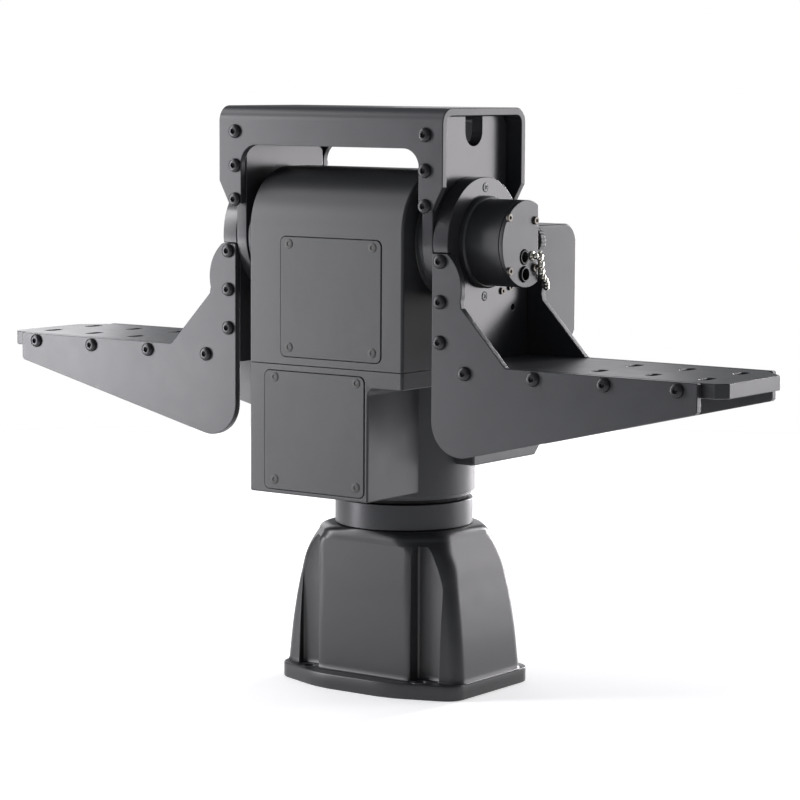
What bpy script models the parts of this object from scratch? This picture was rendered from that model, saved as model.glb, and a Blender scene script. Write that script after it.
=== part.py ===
"""Pan-tilt unit with a payload yoke and two side shelves.

Frame: metres, +Z up, the front (access covers) faces -Y.  The origin is the
pan axis at the underside of the base.  Lengths below are in millimetres and
are turned into metres when a mesh is made.
"""
import math

import bmesh
import bpy
from mathutils import Matrix, Vector

# ---------------------------------------------------------------- dimensions
MM = 0.001
GAP = 0.3                      # joint line left between touching pieces

# axes of motion
TILT_Y, TILT_Z = -39.2, 299.0  # tilt axis, along X

# base casting
FLANGE_A, FLANGE_B = 72.5, 58.8    # half length and half depth
FLANGE_T = 10.3
BASE_TOP = 107.0
FACE_Y = 45.4                      # flat front and rear panels
CAVITY_Y = 28.5
CHAN_IN, CHAN_OUT = 37.5, 57.0     # front and rear recess channels, |X|
CHAN_FLOOR = 35.6                  # |Y| of the channel floor
BOLT_X, BOLT_Y = 45.4, 43.6        # base mounting holes
BASE_HOLE_R = 3.6
NECK_R, NECK_Z0, NECK_Z1 = 46.0, 107.3, 124.3

# rotating head
PAN_CYL_R, PAN_CYL_Z0 = 47.3, 127.2
BODY_W = 61.4                      # half width
FRONT_Y, REAR_Y = -88.3, 114.6
BOX_X0, BOX_X1, BOX_Z0 = -61.0, 34.6, 132.3
FLANGE_Z0, SEAM_Z = 206.0, 217.0
LOW_FRONT_Y, LOW_REAR_Y, LOW_REAR_Z = -7.0, 75.3, 149.8
LOW_CHAMFER = 9.0
DRUM_R, DRUM_C, TOP_Z = 38.7, 305.3, 344.0
DRUM_REAR = 9.9
HOUSING_Z = 304.2
WALL = 5.0
BOSS_R, BOSS_X = 36.0, 65.8

# access covers (x0, x1, z0, z1)
UPPER_COVER = (-35.5, 44.7, 222.5, 300.0)
LOWER_COVER = (-48.6, 31.8, 135.2, 212.8)
COVER_T, COVER_PROUD = 3.0, 0.9
GASKET_T = 0.9

# drives
SPINDLE_R, SPINDLE_BORE, SPINDLE_TOP = 14.0, 9.0, 170.0
PAN_WHEEL = (22.2, 24.0, 40)       # root radius, tip radius, teeth
PAN_WORM_Y, PAN_WORM_Z = -31.5, 161.0
SHAFT_R, SHAFT_BORE = 18.0, 13.0
TILT_WHEEL = (28.0, 30.0, 48)
TILT_WORM_X, TILT_WORM_Z = -15.0, 261.5
BEARING_R = 26.0

# yoke plates
PLATE = 4.76
CH_HALF = 89.2
CH_FRONT, CH_REAR = -85.4, 7.8
CH_TOP, CH_BEND = 383.5, 10.0
NOTCH_Y, NOTCH_HALF = -35.6, 9.2
CH_LEG_Z = 319.8
WIN_HALF, WIN_TOP, WIN_R = 70.8, 358.2, 12.0
DISC_R = 41.1
TEP_X0, TEP_X1 = 70.4, 78.5        # end plates of the top channel
SEP_X0, SEP_X1 = 78.8, 90.0        # end plates of the side brackets
FP_FRONT = -81.24                  # front face of the side brackets
RP_INNER = 11.2
SHELF_X1, SHELF_Z0, SHELF_Z1 = 285.6, 215.0, 224.2
SLOT_X = {1: (185.2, 223.3, 261.4), -1: (189.4, 227.5, 265.6)}   # by side
SLOT_Y = (-53.5, -11.7)
SLOT_W, SLOT_L = 6.6, 15.0
CONN_R, CONN_X0, CONN_X1, CONN_FLAT = 27.5, 90.3, 118.8, -26.0
CONN_FOOT_R, CONN_FOOT_X = 29.3, 94.3
HUB_BOLT_R = 34.5


# ------------------------------------------------------------------- helpers
def clear_scene():
    for ob in list(bpy.data.objects):
        bpy.data.objects.remove(ob, do_unlink=True)


MATS = {}


def material(name, rgb, rough, metal):
    m = bpy.data.materials.new(name)
    m.use_nodes = True
    b = m.node_tree.nodes["Principled BSDF"]
    b.inputs["Base Color"].default_value = (*rgb, 1.0)
    b.inputs["Roughness"].default_value = rough
    b.inputs["Metallic"].default_value = metal
    MATS[name] = m


def empty(name, loc):
    e = bpy.data.objects.new(name, None)
    e.location = Vector(loc) * MM
    bpy.context.collection.objects.link(e)
    return e


def finish(bm, name, mat, frame=None, smooth=None):
    """Mesh in millimetres, row frame -> an object that hangs on its empty."""
    bmesh.ops.recalc_face_normals(bm, faces=bm.faces)
    bmesh.ops.scale(bm, vec=(MM, MM, MM), verts=bm.verts)
    me = bpy.data.meshes.new(name)
    bm.to_mesh(me)
    bm.free()
    ob = bpy.data.objects.new(name, me)
    bpy.context.collection.objects.link(ob)
    if mat:
        me.materials.append(MATS[mat])
    if frame is not None:
        me.transform(Matrix.Translation(-frame.location))
        ob.parent = frame
    if smooth:
        me.shade_smooth()
        me.set_sharp_from_angle(angle=math.radians(smooth))
    return ob


AX = {"X": (1, 2, 0), "Y": (0, 2, 1), "Z": (0, 1, 2)}


def to3(axis, u, v, w):
    p = [0.0, 0.0, 0.0]
    iu, iv, iw = AX[axis]
    p[iu], p[iv], p[iw] = u, v, w
    return p


def bm_prism(axis, pts, lo, hi):
    """Polygon pts in the plane across the axis, swept from lo to hi."""
    bm = bmesh.new()
    a = [bm.verts.new(to3(axis, u, v, lo)) for u, v in pts]
    b = [bm.verts.new(to3(axis, u, v, hi)) for u, v in pts]
    n = len(pts)
    bm.faces.new(list(reversed(a)))
    bm.faces.new(b)
    for i in range(n):
        j = (i + 1) % n
        bm.faces.new((a[i], a[j], b[j], b[i]))
    return bm


def circle(cu, cv, r, n=40, start=0.0):
    return [(cu + r * math.cos(start + 2 * math.pi * i / n),
             cv + r * math.sin(start + 2 * math.pi * i / n)) for i in range(n)]


def arc(cu, cv, r, a0, a1, n):
    return [(cu + r * math.cos(math.radians(a0 + (a1 - a0) * i / n)),
             cv + r * math.sin(math.radians(a0 + (a1 - a0) * i / n)))
            for i in range(n + 1)]


def rrect(u0, u1, v0, v1, r, n=4):
    return (arc(u1 - r, v1 - r, r, 0, 90, n) + arc(u0 + r, v1 - r, r, 90, 180, n)
            + arc(u0 + r, v0 + r, r, 180, 270, n) + arc(u1 - r, v0 + r, r, 270, 360, n))


def prism(name, mat, frame, axis, pts, lo, hi, smooth=None):
    return finish(bm_prism(axis, pts, lo, hi), name, mat, frame, smooth)


def bm_turn(axis, cu, cv, prof, n=40):
    """Turned ring: prof is a closed loop of (radius, position along the axis)."""
    bm = bmesh.new()
    rings = []
    for r, w in prof:
        rings.append([bm.verts.new(to3(axis, cu + r * math.cos(2 * math.pi * i / n),
                                       cv + r * math.sin(2 * math.pi * i / n), w))
                      for i in range(n)])
    m = len(prof)
    for k in range(m):
        p, q = rings[k], rings[(k + 1) % m]
        for i in range(n):
            j = (i + 1) % n
            bm.faces.new((p[i], p[j], q[j], q[i]))
    return bm


def bm_spin_solid(axis, cu, cv, prof, n=40):
    """Turned solid bar: prof runs from one end to the other, (radius, position)."""
    bm = bmesh.new()
    rings = []
    for r, w in prof:
        rings.append([bm.verts.new(to3(axis, cu + r * math.cos(2 * math.pi * i / n),
                                       cv + r * math.sin(2 * math.pi * i / n), w))
                      for i in range(n)])
    for p, q in zip(rings, rings[1:]):
        for i in range(n):
            j = (i + 1) % n
            bm.faces.new((p[i], p[j], q[j], q[i]))
    bm.faces.new(rings[0])
    bm.faces.new(rings[-1])
    return bm


def turned_ring(name, mat, frame, axis, cu, cv, prof, n=40):
    return finish(bm_turn(axis, cu, cv, prof, n), name, mat, frame, 35)


def turned(name, mat, frame, axis, cu, cv, prof, n=40):
    return finish(bm_spin_solid(axis, cu, cv, prof, n), name, mat, frame, 35)


def bm_loft(sections):
    """Closed loft through rings of equal count: [(points, z), ...]."""
    bm = bmesh.new()
    rings = [[bm.verts.new((x, y, z)) for x, y in pts] for pts, z in sections]
    n = len(rings[0])
    for p, q in zip(rings, rings[1:]):
        for i in range(n):
            j = (i + 1) % n
            bm.faces.new((p[i], p[j], q[j], q[i]))
    bm.faces.new(list(reversed(rings[0])))
    bm.faces.new(rings[-1])
    return bm


def helper(bm, name):
    ob = finish(bm, name, None)
    ob.hide_render = True
    ob.display_type = "WIRE"
    return ob


def boolean(ob, tool, op):
    m = ob.modifiers.new(op.lower() + "_" + tool.name, "BOOLEAN")
    m.operation = op
    m.solver = "EXACT"
    m.object = tool
    return m


def cut(ob, bm, name):
    boolean(ob, helper(bm, "cut_" + name), "DIFFERENCE")


def join(ob, bm, name):
    boolean(ob, helper(bm, "add_" + name), "UNION")


def mirror_pts(pts):
    return [(-u, v) for u, v in reversed(pts)]


# ---------------------------------------------------------------- the outlines
def base_section(a, b, r, z, n=4):
    return rrect(-a, a, -b, b, min(r, a - 0.01, b - 0.01), n), z


def soft_corner(p0, p1, p2, r, n):
    """Arc of radius r that touches both edges at the corner p1."""
    e1 = Vector((p1[0] - p0[0], p1[1] - p0[1])).normalized()
    e2 = Vector((p2[0] - p1[0], p2[1] - p1[1])).normalized()
    turn = math.atan2(e1.x * e2.y - e1.y * e2.x, e1.dot(e2))
    side = 1.0 if turn > 0 else -1.0
    t = r * math.tan(abs(turn) / 2)
    nx, ny = -e1.y * side, e1.x * side
    cx, cy = p1[0] - e1.x * t + nx * r, p1[1] - e1.y * t + ny * r
    a0 = math.atan2(-ny, -nx)
    return [(cx + r * math.cos(a0 + turn * i / n), cy + r * math.sin(a0 + turn * i / n))
            for i in range(n + 1)]


def base_outline(a, b, xs, front, rear, n=4):
    """Plan of the base: flat sides at X = +-a, flat panels at Y = +-b for |X| < xs,
    and slanting faces between them that meet the sides in corners (|Y|, radius)."""
    def quarter(sx, sy, c):
        y, r = c
        p = [(sx * a, 0.0), (sx * a, sy * y), (sx * xs, sy * b), (0.0, sy * b)]
        return soft_corner(p[0], p[1], p[2], r, n) + soft_corner(p[1], p[2], p[3], 14.0, 2)
    return (quarter(1, 1, rear) + quarter(-1, 1, rear)[::-1]
            + quarter(-1, -1, front) + quarter(1, -1, front)[::-1])


# half length, corner |Y|, half depth, panel half width, corner radius and height
# of the flared casting
BODY_RINGS = [
    (71.5, 36.8, 45.4, 37.0, 9.0, FLANGE_T), (68.3, 35.3, 45.4, 37.0, 9.5, 42.0),
    (63.5, 33.0, 45.4, 36.0, 11.0, 71.0), (60.0, 30.8, 45.6, 35.0, 13.0, 86.0),
    (55.5, 29.0, 46.2, 31.0, 16.0, 95.0), (52.5, 27.0, 46.6, 22.0, 20.0, 101.5)]


def bm_base_outer():
    def flange(inset, z):
        return base_outline(FLANGE_A - inset, FLANGE_B - inset, 29.0 - 0.3 * inset,
                            (42.5 - 0.8 * inset, 15.0), (45.5 - 0.8 * inset, 13.0)), z

    rings = [flange(0.8, 0.0), flange(0.0, 1.0), flange(0.0, FLANGE_T - 1.0),
             flange(0.9, FLANGE_T - 0.1)]
    for a, y, b, xs, r, z in BODY_RINGS:
        rings.append((base_outline(a, b, xs, (y, r), (y, r)), z))
    top = [(46.3 * x / math.hypot(x, y), 46.3 * y / math.hypot(x, y)) for x, y in rings[-1][0]]
    rings.append((top, BASE_TOP))
    return bm_loft(rings)


def bm_base_cavity():
    rings = [base_section(57.0, CAVITY_Y, 8.0, 4.6, 2)]
    for a, y, b, xs, r, z in BODY_RINGS[1:4]:
        rings.append(base_section(a - 8.0, CAVITY_Y, 9.0, z, 2))
    rings.append(base_section(38.0, CAVITY_Y, 9.0, 99.0, 2))
    return bm_loft(rings)


def drum_profile(inset=0.0, floor=SEAM_Z + GAP, n=8):
    """Side outline of the upper casting in Y, Z."""
    r = DRUM_R - inset
    c0, c1 = FRONT_Y + DRUM_R, DRUM_REAR - DRUM_R
    pts = [(FRONT_Y + inset, floor)]
    pts += arc(c0, DRUM_C, r, 180, 90, n)
    pts += arc(c1, DRUM_C, r, 90, 8, n)
    zt = HOUSING_Z - inset
    pts = [p for p in pts if p[1] > zt + 0.5 or p[0] < c0]
    pts.append((c1 + math.sqrt(max(r * r - (zt - DRUM_C) ** 2, 0.0)), zt))
    k = 13.0 - inset * 0.5
    pts += arc(REAR_Y - inset - k, zt - k, k, 90, 0, 5)
    if inset:
        pts += [(REAR_Y - inset, floor)]
    else:
        pts += [(REAR_Y, 231.0), (REAR_Y - 3.4, 226.6), (REAR_Y - 3.4, floor)]
    return pts


def side_plate_profile():
    """Outline of a side bracket's front or rear plate in X, Z (right side)."""
    m = (205.6 - 167.1) / (269.6 - 108.7)
    fi = math.degrees(math.atan(m))
    r, xi = 22.0, 78.8
    cx = xi + r
    cz = 167.1 + m * (cx - 108.7) + r * math.hypot(1.0, m)
    pts = arc(cx, cz, r, 180, 270 + fi, 7)
    pts += [(268.8, 205.6 - m * 0.8), (270.2, 206.9), (270.2, 224.2), (134.6, 224.2),
            (101.2, 259.6)]
    low = math.degrees(math.asin((264.0 - 271.0) / 28.2))
    top = math.degrees(math.asin((293.2 - 271.0) / 28.2))
    pts += arc(73.0, 271.0, 28.2, low, top, 7)
    pts += [(xi, 293.2)]
    return pts


def side_end_profile():
    """Outline of a side bracket's end plate in Y, Z: round head on a wide foot."""
    zs = 293.5
    h = math.degrees(math.asin((TILT_Z - zs) / DISC_R))
    pts = [(FP_FRONT + PLATE + GAP, SHELF_Z0), (FP_FRONT + PLATE + GAP, zs)]
    pts += arc(TILT_Y, TILT_Z, DISC_R, 180 + h, -h, 20)
    pts += [(RP_INNER - GAP, zs), (RP_INNER - GAP, SHELF_Z0)]
    return pts


def top_end_profile():
    """Outline of the top channel's end plate: round foot, U notch at the top."""
    zt = CH_TOP - PLATE - GAP
    k, c = NOTCH_HALF, NOTCH_Y
    pts = arc(TILT_Y, TILT_Z, DISC_R, 180, 360, 18)
    pts += [(TILT_Y + DISC_R, zt - 5.0), (TILT_Y + DISC_R - 5.0, zt), (c + k, zt)]
    pts += arc(c, 359.4 + k, k, 0, -180, 8)
    pts += [(c - k, zt), (TILT_Y - DISC_R + 5.0, zt), (TILT_Y - DISC_R, zt - 5.0)]
    return pts


def d_outline(r, flat, corner=5.0):
    """Round outline about the tilt axis with a flat side at Y = flat."""
    half = math.degrees(math.acos((flat - TILT_Y) / r))
    pts = arc(TILT_Y, TILT_Z, r, half + 14, 360 - half - 14, 16)
    dz = math.sqrt(r * r - (flat - TILT_Y) ** 2)
    pts += [(flat, TILT_Z - dz + corner), (flat, TILT_Z + dz - corner)]
    return pts


def gear_outline(cu, cv, root, tip, teeth):
    pts = []
    for i in range(teeth):
        a = 2 * math.pi * i / teeth
        s = 2 * math.pi / teeth
        for f, r in ((-0.25, root), (0.25, tip)):
            pts.append((cu + r * math.cos(a + f * s), cv + r * math.sin(a + f * s)))
    return pts


# --------------------------------------------------------------------- pieces
def make_base(f):
    ob = finish(bm_base_outer(), "base_casting", "casting", f, 30)
    cut(ob, bm_base_cavity(), "base_cavity")
    cut(ob, bm_prism("Z", rrect(-50.0, 50.0, -28.0, 28.0, 6.0, 2), -2.0, 12.0), "base_mouth")
    for sy in (-1, 1):
        w0, w1 = sorted((sy * FACE_Y, sy * 70.0))
        cut(ob, bm_prism("Y", [(-CHAN_IN, FLANGE_T + 0.6), (CHAN_IN, FLANGE_T + 0.6),
                               (CHAN_IN, 104.0), (-CHAN_IN, 104.0)], w0, w1), "panel_%d" % sy)
    cut(ob, bm_prism("Z", rrect(-54.3, 54.3, -34.3, 34.3, 8.0, 3), -2.0, 4.3), "base_seat")
    cut(ob, bm_prism("Z", circle(0, 0, 24.3, 24), 90.0, 115.0), "base_bore")
    k = 0
    for sx in (-1, 1):
        for sy in (-1, 1):
            u0, u1 = sorted((sx * CHAN_IN, sx * CHAN_OUT))
            w0, w1 = sorted((sy * CHAN_FLOOR, sy * 70.0))
            pts = [(u0, FLANGE_T + 0.6), (u1, FLANGE_T + 0.6), (u1, 106.0), (u0, 106.0)]
            cut(ob, bm_prism("Y", pts, w0, w1), "channel_%d" % k)
            cut(ob, bm_prism("Z", circle(sx * BOLT_X, sy * BOLT_Y, BASE_HOLE_R, 12), -2.0, 20.0),
                "bolt_hole_%d" % k)
            k += 1
    cut(ob, bm_prism("Y", circle(0, 45.0, 14.3, 20), 25.0, 70.0), "base_socket")

    prism("base_plate", "black_plate", f, "Z", rrect(-54.0, 54.0, -34.0, 34.0, 7.7, 3), 0.0, 4.0)

    # rear electrical connector: flange outside the wall, barrel through it
    rear = FACE_Y + 0.4
    prof = [(13.9, 24.0), (13.9, rear), (18.5, rear), (18.5, rear + 2.6), (13.0, rear + 2.6),
            (13.0, rear + 9.0), (11.0, rear + 9.0), (11.0, rear + 2.0), (1.2, rear + 2.0),
            (1.2, 24.0)]
    turned_ring("base_connector", "zinc", f, "Y", 0.0, 45.0, prof, 20)

    prof = [(14.3, NECK_Z0), (24.0, NECK_Z0 - 5.0), (24.0, NECK_Z0), (NECK_R, NECK_Z0),
            (NECK_R, NECK_Z1), (28.0, NECK_Z1), (28.0, NECK_Z1 - 4.0), (14.3, NECK_Z1 - 4.0)]
    turned_ring("neck_ring", "anodised", f, "Z", 0, 0, prof, 36)

    prof = [(SPINDLE_BORE, 96.0), (20.0, 96.0), (20.0, 101.0), (SPINDLE_R, 101.0),
            (SPINDLE_R, SPINDLE_TOP), (SPINDLE_BORE, SPINDLE_TOP)]
    turned_ring("pan_spindle", "steel", f, "Z", 0, 0, prof, 20)
    prof = [(3.0, 110.0), (8.6, 110.0), (8.6, 150.0), (3.0, 150.0)]
    turned_ring("slip_ring", "black_plastic", f, "Z", 0, 0, prof, 12)

    for name, z in (("pan_bearing_lower", 129.0), ("pan_bearing_upper", 142.5)):
        prof = [(SPINDLE_R + GAP, z), (21.9, z), (21.9, z + 8.0), (SPINDLE_R + GAP, z + 8.0)]
        turned_ring(name, "steel", f, "Z", 0, 0, prof, 20)

    root, tip, teeth = PAN_WHEEL
    ob = prism("pan_worm_wheel", "bronze", f, "Z", gear_outline(0, 0, root, tip, teeth),
               PAN_WORM_Z - 5.0, PAN_WORM_Z + 5.0)
    cut(ob, bm_prism("Z", circle(0, 0, SPINDLE_R + GAP, 20), 140.0, 180.0), "pan_wheel_bore")


def cover_seat(ob, c, tag, face, axis_depth):
    """Recess and access opening for a cover in the front wall."""
    x0, x1, z0, z1 = c
    depth = COVER_T - COVER_PROUD + GAP + GASKET_T + 0.2
    cut(ob, bm_prism("Y", rrect(x0 - GAP, x1 + GAP, z0 - GAP, z1 + GAP, 4.3, 3),
                     face - 5.0, face + depth), tag + "_seat")
    cut(ob, bm_prism("Y", rrect(x0 + 12, x1 - 12, z0 + 12, z1 - 12, 5.0, 3),
                     face - 5.0, face + axis_depth), tag + "_port")


def cover(name, c, f, face):
    x0, x1, z0, z1 = c
    bm = bm_prism("Y", rrect(x0, x1, z0, z1, 4.0, 3), face - COVER_PROUD,
                  face - COVER_PROUD + COVER_T)
    prism_ob = finish(bm, name, "cover", f)
    g0 = face - COVER_PROUD + COVER_T + 0.25
    gk = prism(name + "_gasket", "rubber", f, "Y",
               rrect(x0 + 2, x1 - 2, z0 + 2, z1 - 2, 3.5, 3), g0, g0 + GASKET_T)
    cut(gk, bm_prism("Y", rrect(x0 + 11, x1 - 11, z0 + 11, z1 - 11, 4.0, 3),
                     g0 - 2.0, g0 + 3.0), name + "_gasket_window")
    return prism_ob


def make_head(f):
    # lower casting: full width flange, front box, rear box and pan cylinder
    z0, z1 = FLANGE_Z0, SEAM_Z
    ob = prism("lower_casting", "casting", f, "Z",
               rrect(-BODY_W, BODY_W, FRONT_Y, REAR_Y - 3.4, 2.0, 2), z0, z1)
    join(ob, bm_prism("Z", rrect(BOX_X0, BOX_X1, FRONT_Y + 0.2, 20.0, 2.5, 2), BOX_Z0, z0 + 4.0),
         "front_box")
    k = LOW_CHAMFER
    side = [(LOW_FRONT_Y, LOW_REAR_Z), (LOW_REAR_Y - k, LOW_REAR_Z), (LOW_REAR_Y, LOW_REAR_Z + k),
            (LOW_REAR_Y, z0 + 4.0), (LOW_FRONT_Y, z0 + 4.0)]
    join(ob, bm_prism("X", side, -BODY_W + 0.4, BODY_W - 0.4), "rear_box")
    join(ob, bm_spin_solid("Z", 0, 0, [(45.0, PAN_CYL_Z0), (45.0, PAN_CYL_Z0 + 2.4),
                                       (PAN_CYL_R, PAN_CYL_Z0 + 2.4), (PAN_CYL_R, z0 + 3.0)], 36),
         "pan_cylinder")
    # hollow inside, open at the top
    cut(ob, bm_prism("Z", rrect(BOX_X0 + WALL, BOX_X1 - WALL, FRONT_Y + WALL + 2.5, 12.0, 3.0, 2),
                     BOX_Z0 + WALL, z1 + 5.0), "front_box_inside")
    k = LOW_CHAMFER - WALL * 0.6
    side = [(LOW_FRONT_Y + WALL + 1.0, LOW_REAR_Z + WALL), (LOW_REAR_Y - WALL - k, LOW_REAR_Z + WALL),
            (LOW_REAR_Y - WALL, LOW_REAR_Z + WALL + k), (LOW_REAR_Y - WALL, z1 + 6.0),
            (LOW_FRONT_Y + WALL + 1.0, z1 + 6.0)]
    cut(ob, bm_prism("X", side, -BODY_W + 6.4, BODY_W - 6.4), "rear_box_inside")
    # pan bearing hub stands on the floor of the cylinder
    cut(ob, bm_turn("Z", 0, 0, [(27.0, PAN_CYL_Z0 + 7.0), (42.0, PAN_CYL_Z0 + 7.0),
                                (42.0, 153.5), (27.0, 153.5)], 28), "cylinder_inside")
    cut(ob, bm_prism("Z", circle(0, 0, 42.0, 28), 152.0, 206.5), "cylinder_inside_top")
    cut(ob, bm_prism("Z", circle(0, 0, 22.4, 20), 118.0, 162.0), "pan_bearing_seat")
    cover_seat(ob, LOWER_COVER, "lower_cover", FRONT_Y, 16.0)

    # upper casting: quarter round drum in front, deep housing behind
    ob = prism("upper_casting", "casting", f, "X", drum_profile(), -BODY_W, BODY_W)
    bosses = bm_prism("X", circle(TILT_Y, TILT_Z, BOSS_R, 32), -BOSS_X, BOSS_X)
    join(ob, bosses, "tilt_bosses")
    inner = drum_profile(WALL + 1.5, SEAM_Z - 6.0, 5)
    cut(ob, bm_prism("X", inner, -BODY_W + WALL, BODY_W - WALL), "upper_inside")
    cut(ob, bm_prism("X", circle(TILT_Y, TILT_Z, BEARING_R + 0.5, 20), -80.0, 80.0),
        "tilt_bores")
    cover_seat(ob, UPPER_COVER, "upper_cover", FRONT_Y, 16.0)

    cover("upper_cover", UPPER_COVER, f, FRONT_Y)
    cover("lower_cover", LOWER_COVER, f, FRONT_Y)

    prof = [(24.5, NECK_Z1 + 0.5), (43.4, NECK_Z1 + 0.5), (43.4, PAN_CYL_Z0 - GAP),
            (24.5, PAN_CYL_Z0 - GAP)]
    turned_ring("pan_seal", "rubber", f, "Z", 0, 0, prof, 28)

    # pan drive: motor, and a block that carries the free end of the worm
    my, mz = PAN_WORM_Y, PAN_WORM_Z
    turned("pan_motor", "motor", f, "X", my, mz,
           [(13.0, -54.0), (13.0, -29.0), (8.0, -29.0), (8.0, -26.5)], 16)
    pts = [(my - 8.0, 140.3), (my - 8.0, mz + 7.0), (my + 5.0, mz + 7.0), (my + 5.0, 153.9),
           (my + 3.0, 153.9), (my + 3.0, 140.3)]
    ob = prism("pan_worm_block", "anodised", f, "X", pts, 18.0, 24.0)
    cut(ob, bm_prism("X", circle(my, mz, 3.4, 12), 10.0, 30.0), "pan_block_bore")

    # tilt drive
    tx, tz = TILT_WORM_X, TILT_WORM_Z
    turned("tilt_motor", "motor", f, "Y", tx, tz,
           [(16.0, 46.0), (16.0, -3.0), (9.0, -3.0), (9.0, -6.0)], 16)
    pts = [(tx - 9.0, tz - 12.0), (tx + 9.0, tz - 12.0), (tx + 9.0, tz + 7.0), (tx - 9.0, tz + 7.0)]
    ob = prism("tilt_worm_block", "anodised", f, "Y", pts, -71.0, -65.0)
    cut(ob, bm_prism("Y", circle(tx, tz, 3.4, 12), -80.0, -60.0), "tilt_block_bore")

    prism("control_board", "circuit", f, "Y", rrect(-44.0, 44.0, 232.0, 292.0, 3.0, 2), 88.0, 89.6)
    for name, s in (("tilt_bearing_left", -1), ("tilt_bearing_right", 1)):
        x0, x1 = sorted((s * 57.0, s * 65.3))
        prof = [(SHAFT_R + GAP, x0), (BEARING_R, x0), (BEARING_R, x1), (SHAFT_R + GAP, x1)]
        turned_ring(name, "steel", f, "X", TILT_Y, TILT_Z, prof, 20)
    # seal between the castings
    ob = prism("housing_seal", "rubber", f, "Z",
               rrect(-BODY_W + 7.2, BODY_W - 7.2, LOW_FRONT_Y + WALL + 1.8, LOW_REAR_Y - WALL - 0.8,
                    0.5, 2),
               SEAM_Z - 5.0, SEAM_Z + 3.0)
    cut(ob, bm_prism("Z", rrect(-BODY_W + 9.0, BODY_W - 9.0, LOW_FRONT_Y + WALL + 3.6,
                                LOW_REAR_Y - WALL - 2.6, 0.4, 2),
                     SEAM_Z - 9.0, SEAM_Z + 7.0), "housing_seal_window")


def make_worm(name, f, axis, cu, cv, lo, hi, t0, t1, pitch):
    """Worm shaft with its threaded length drawn as rings at the wheel's pitch."""
    prof = [(2.8, lo), (2.8, t0)]
    w = t0 + 0.8
    while w < t1 - pitch:
        prof += [(5.2, w), (6.7, w + 0.4 * pitch)]
        w += pitch
    prof += [(5.2, t1 - 0.8), (2.8, t1), (2.8, hi)]
    return turned(name, "steel", f, axis, cu, cv, prof, 12)


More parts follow.
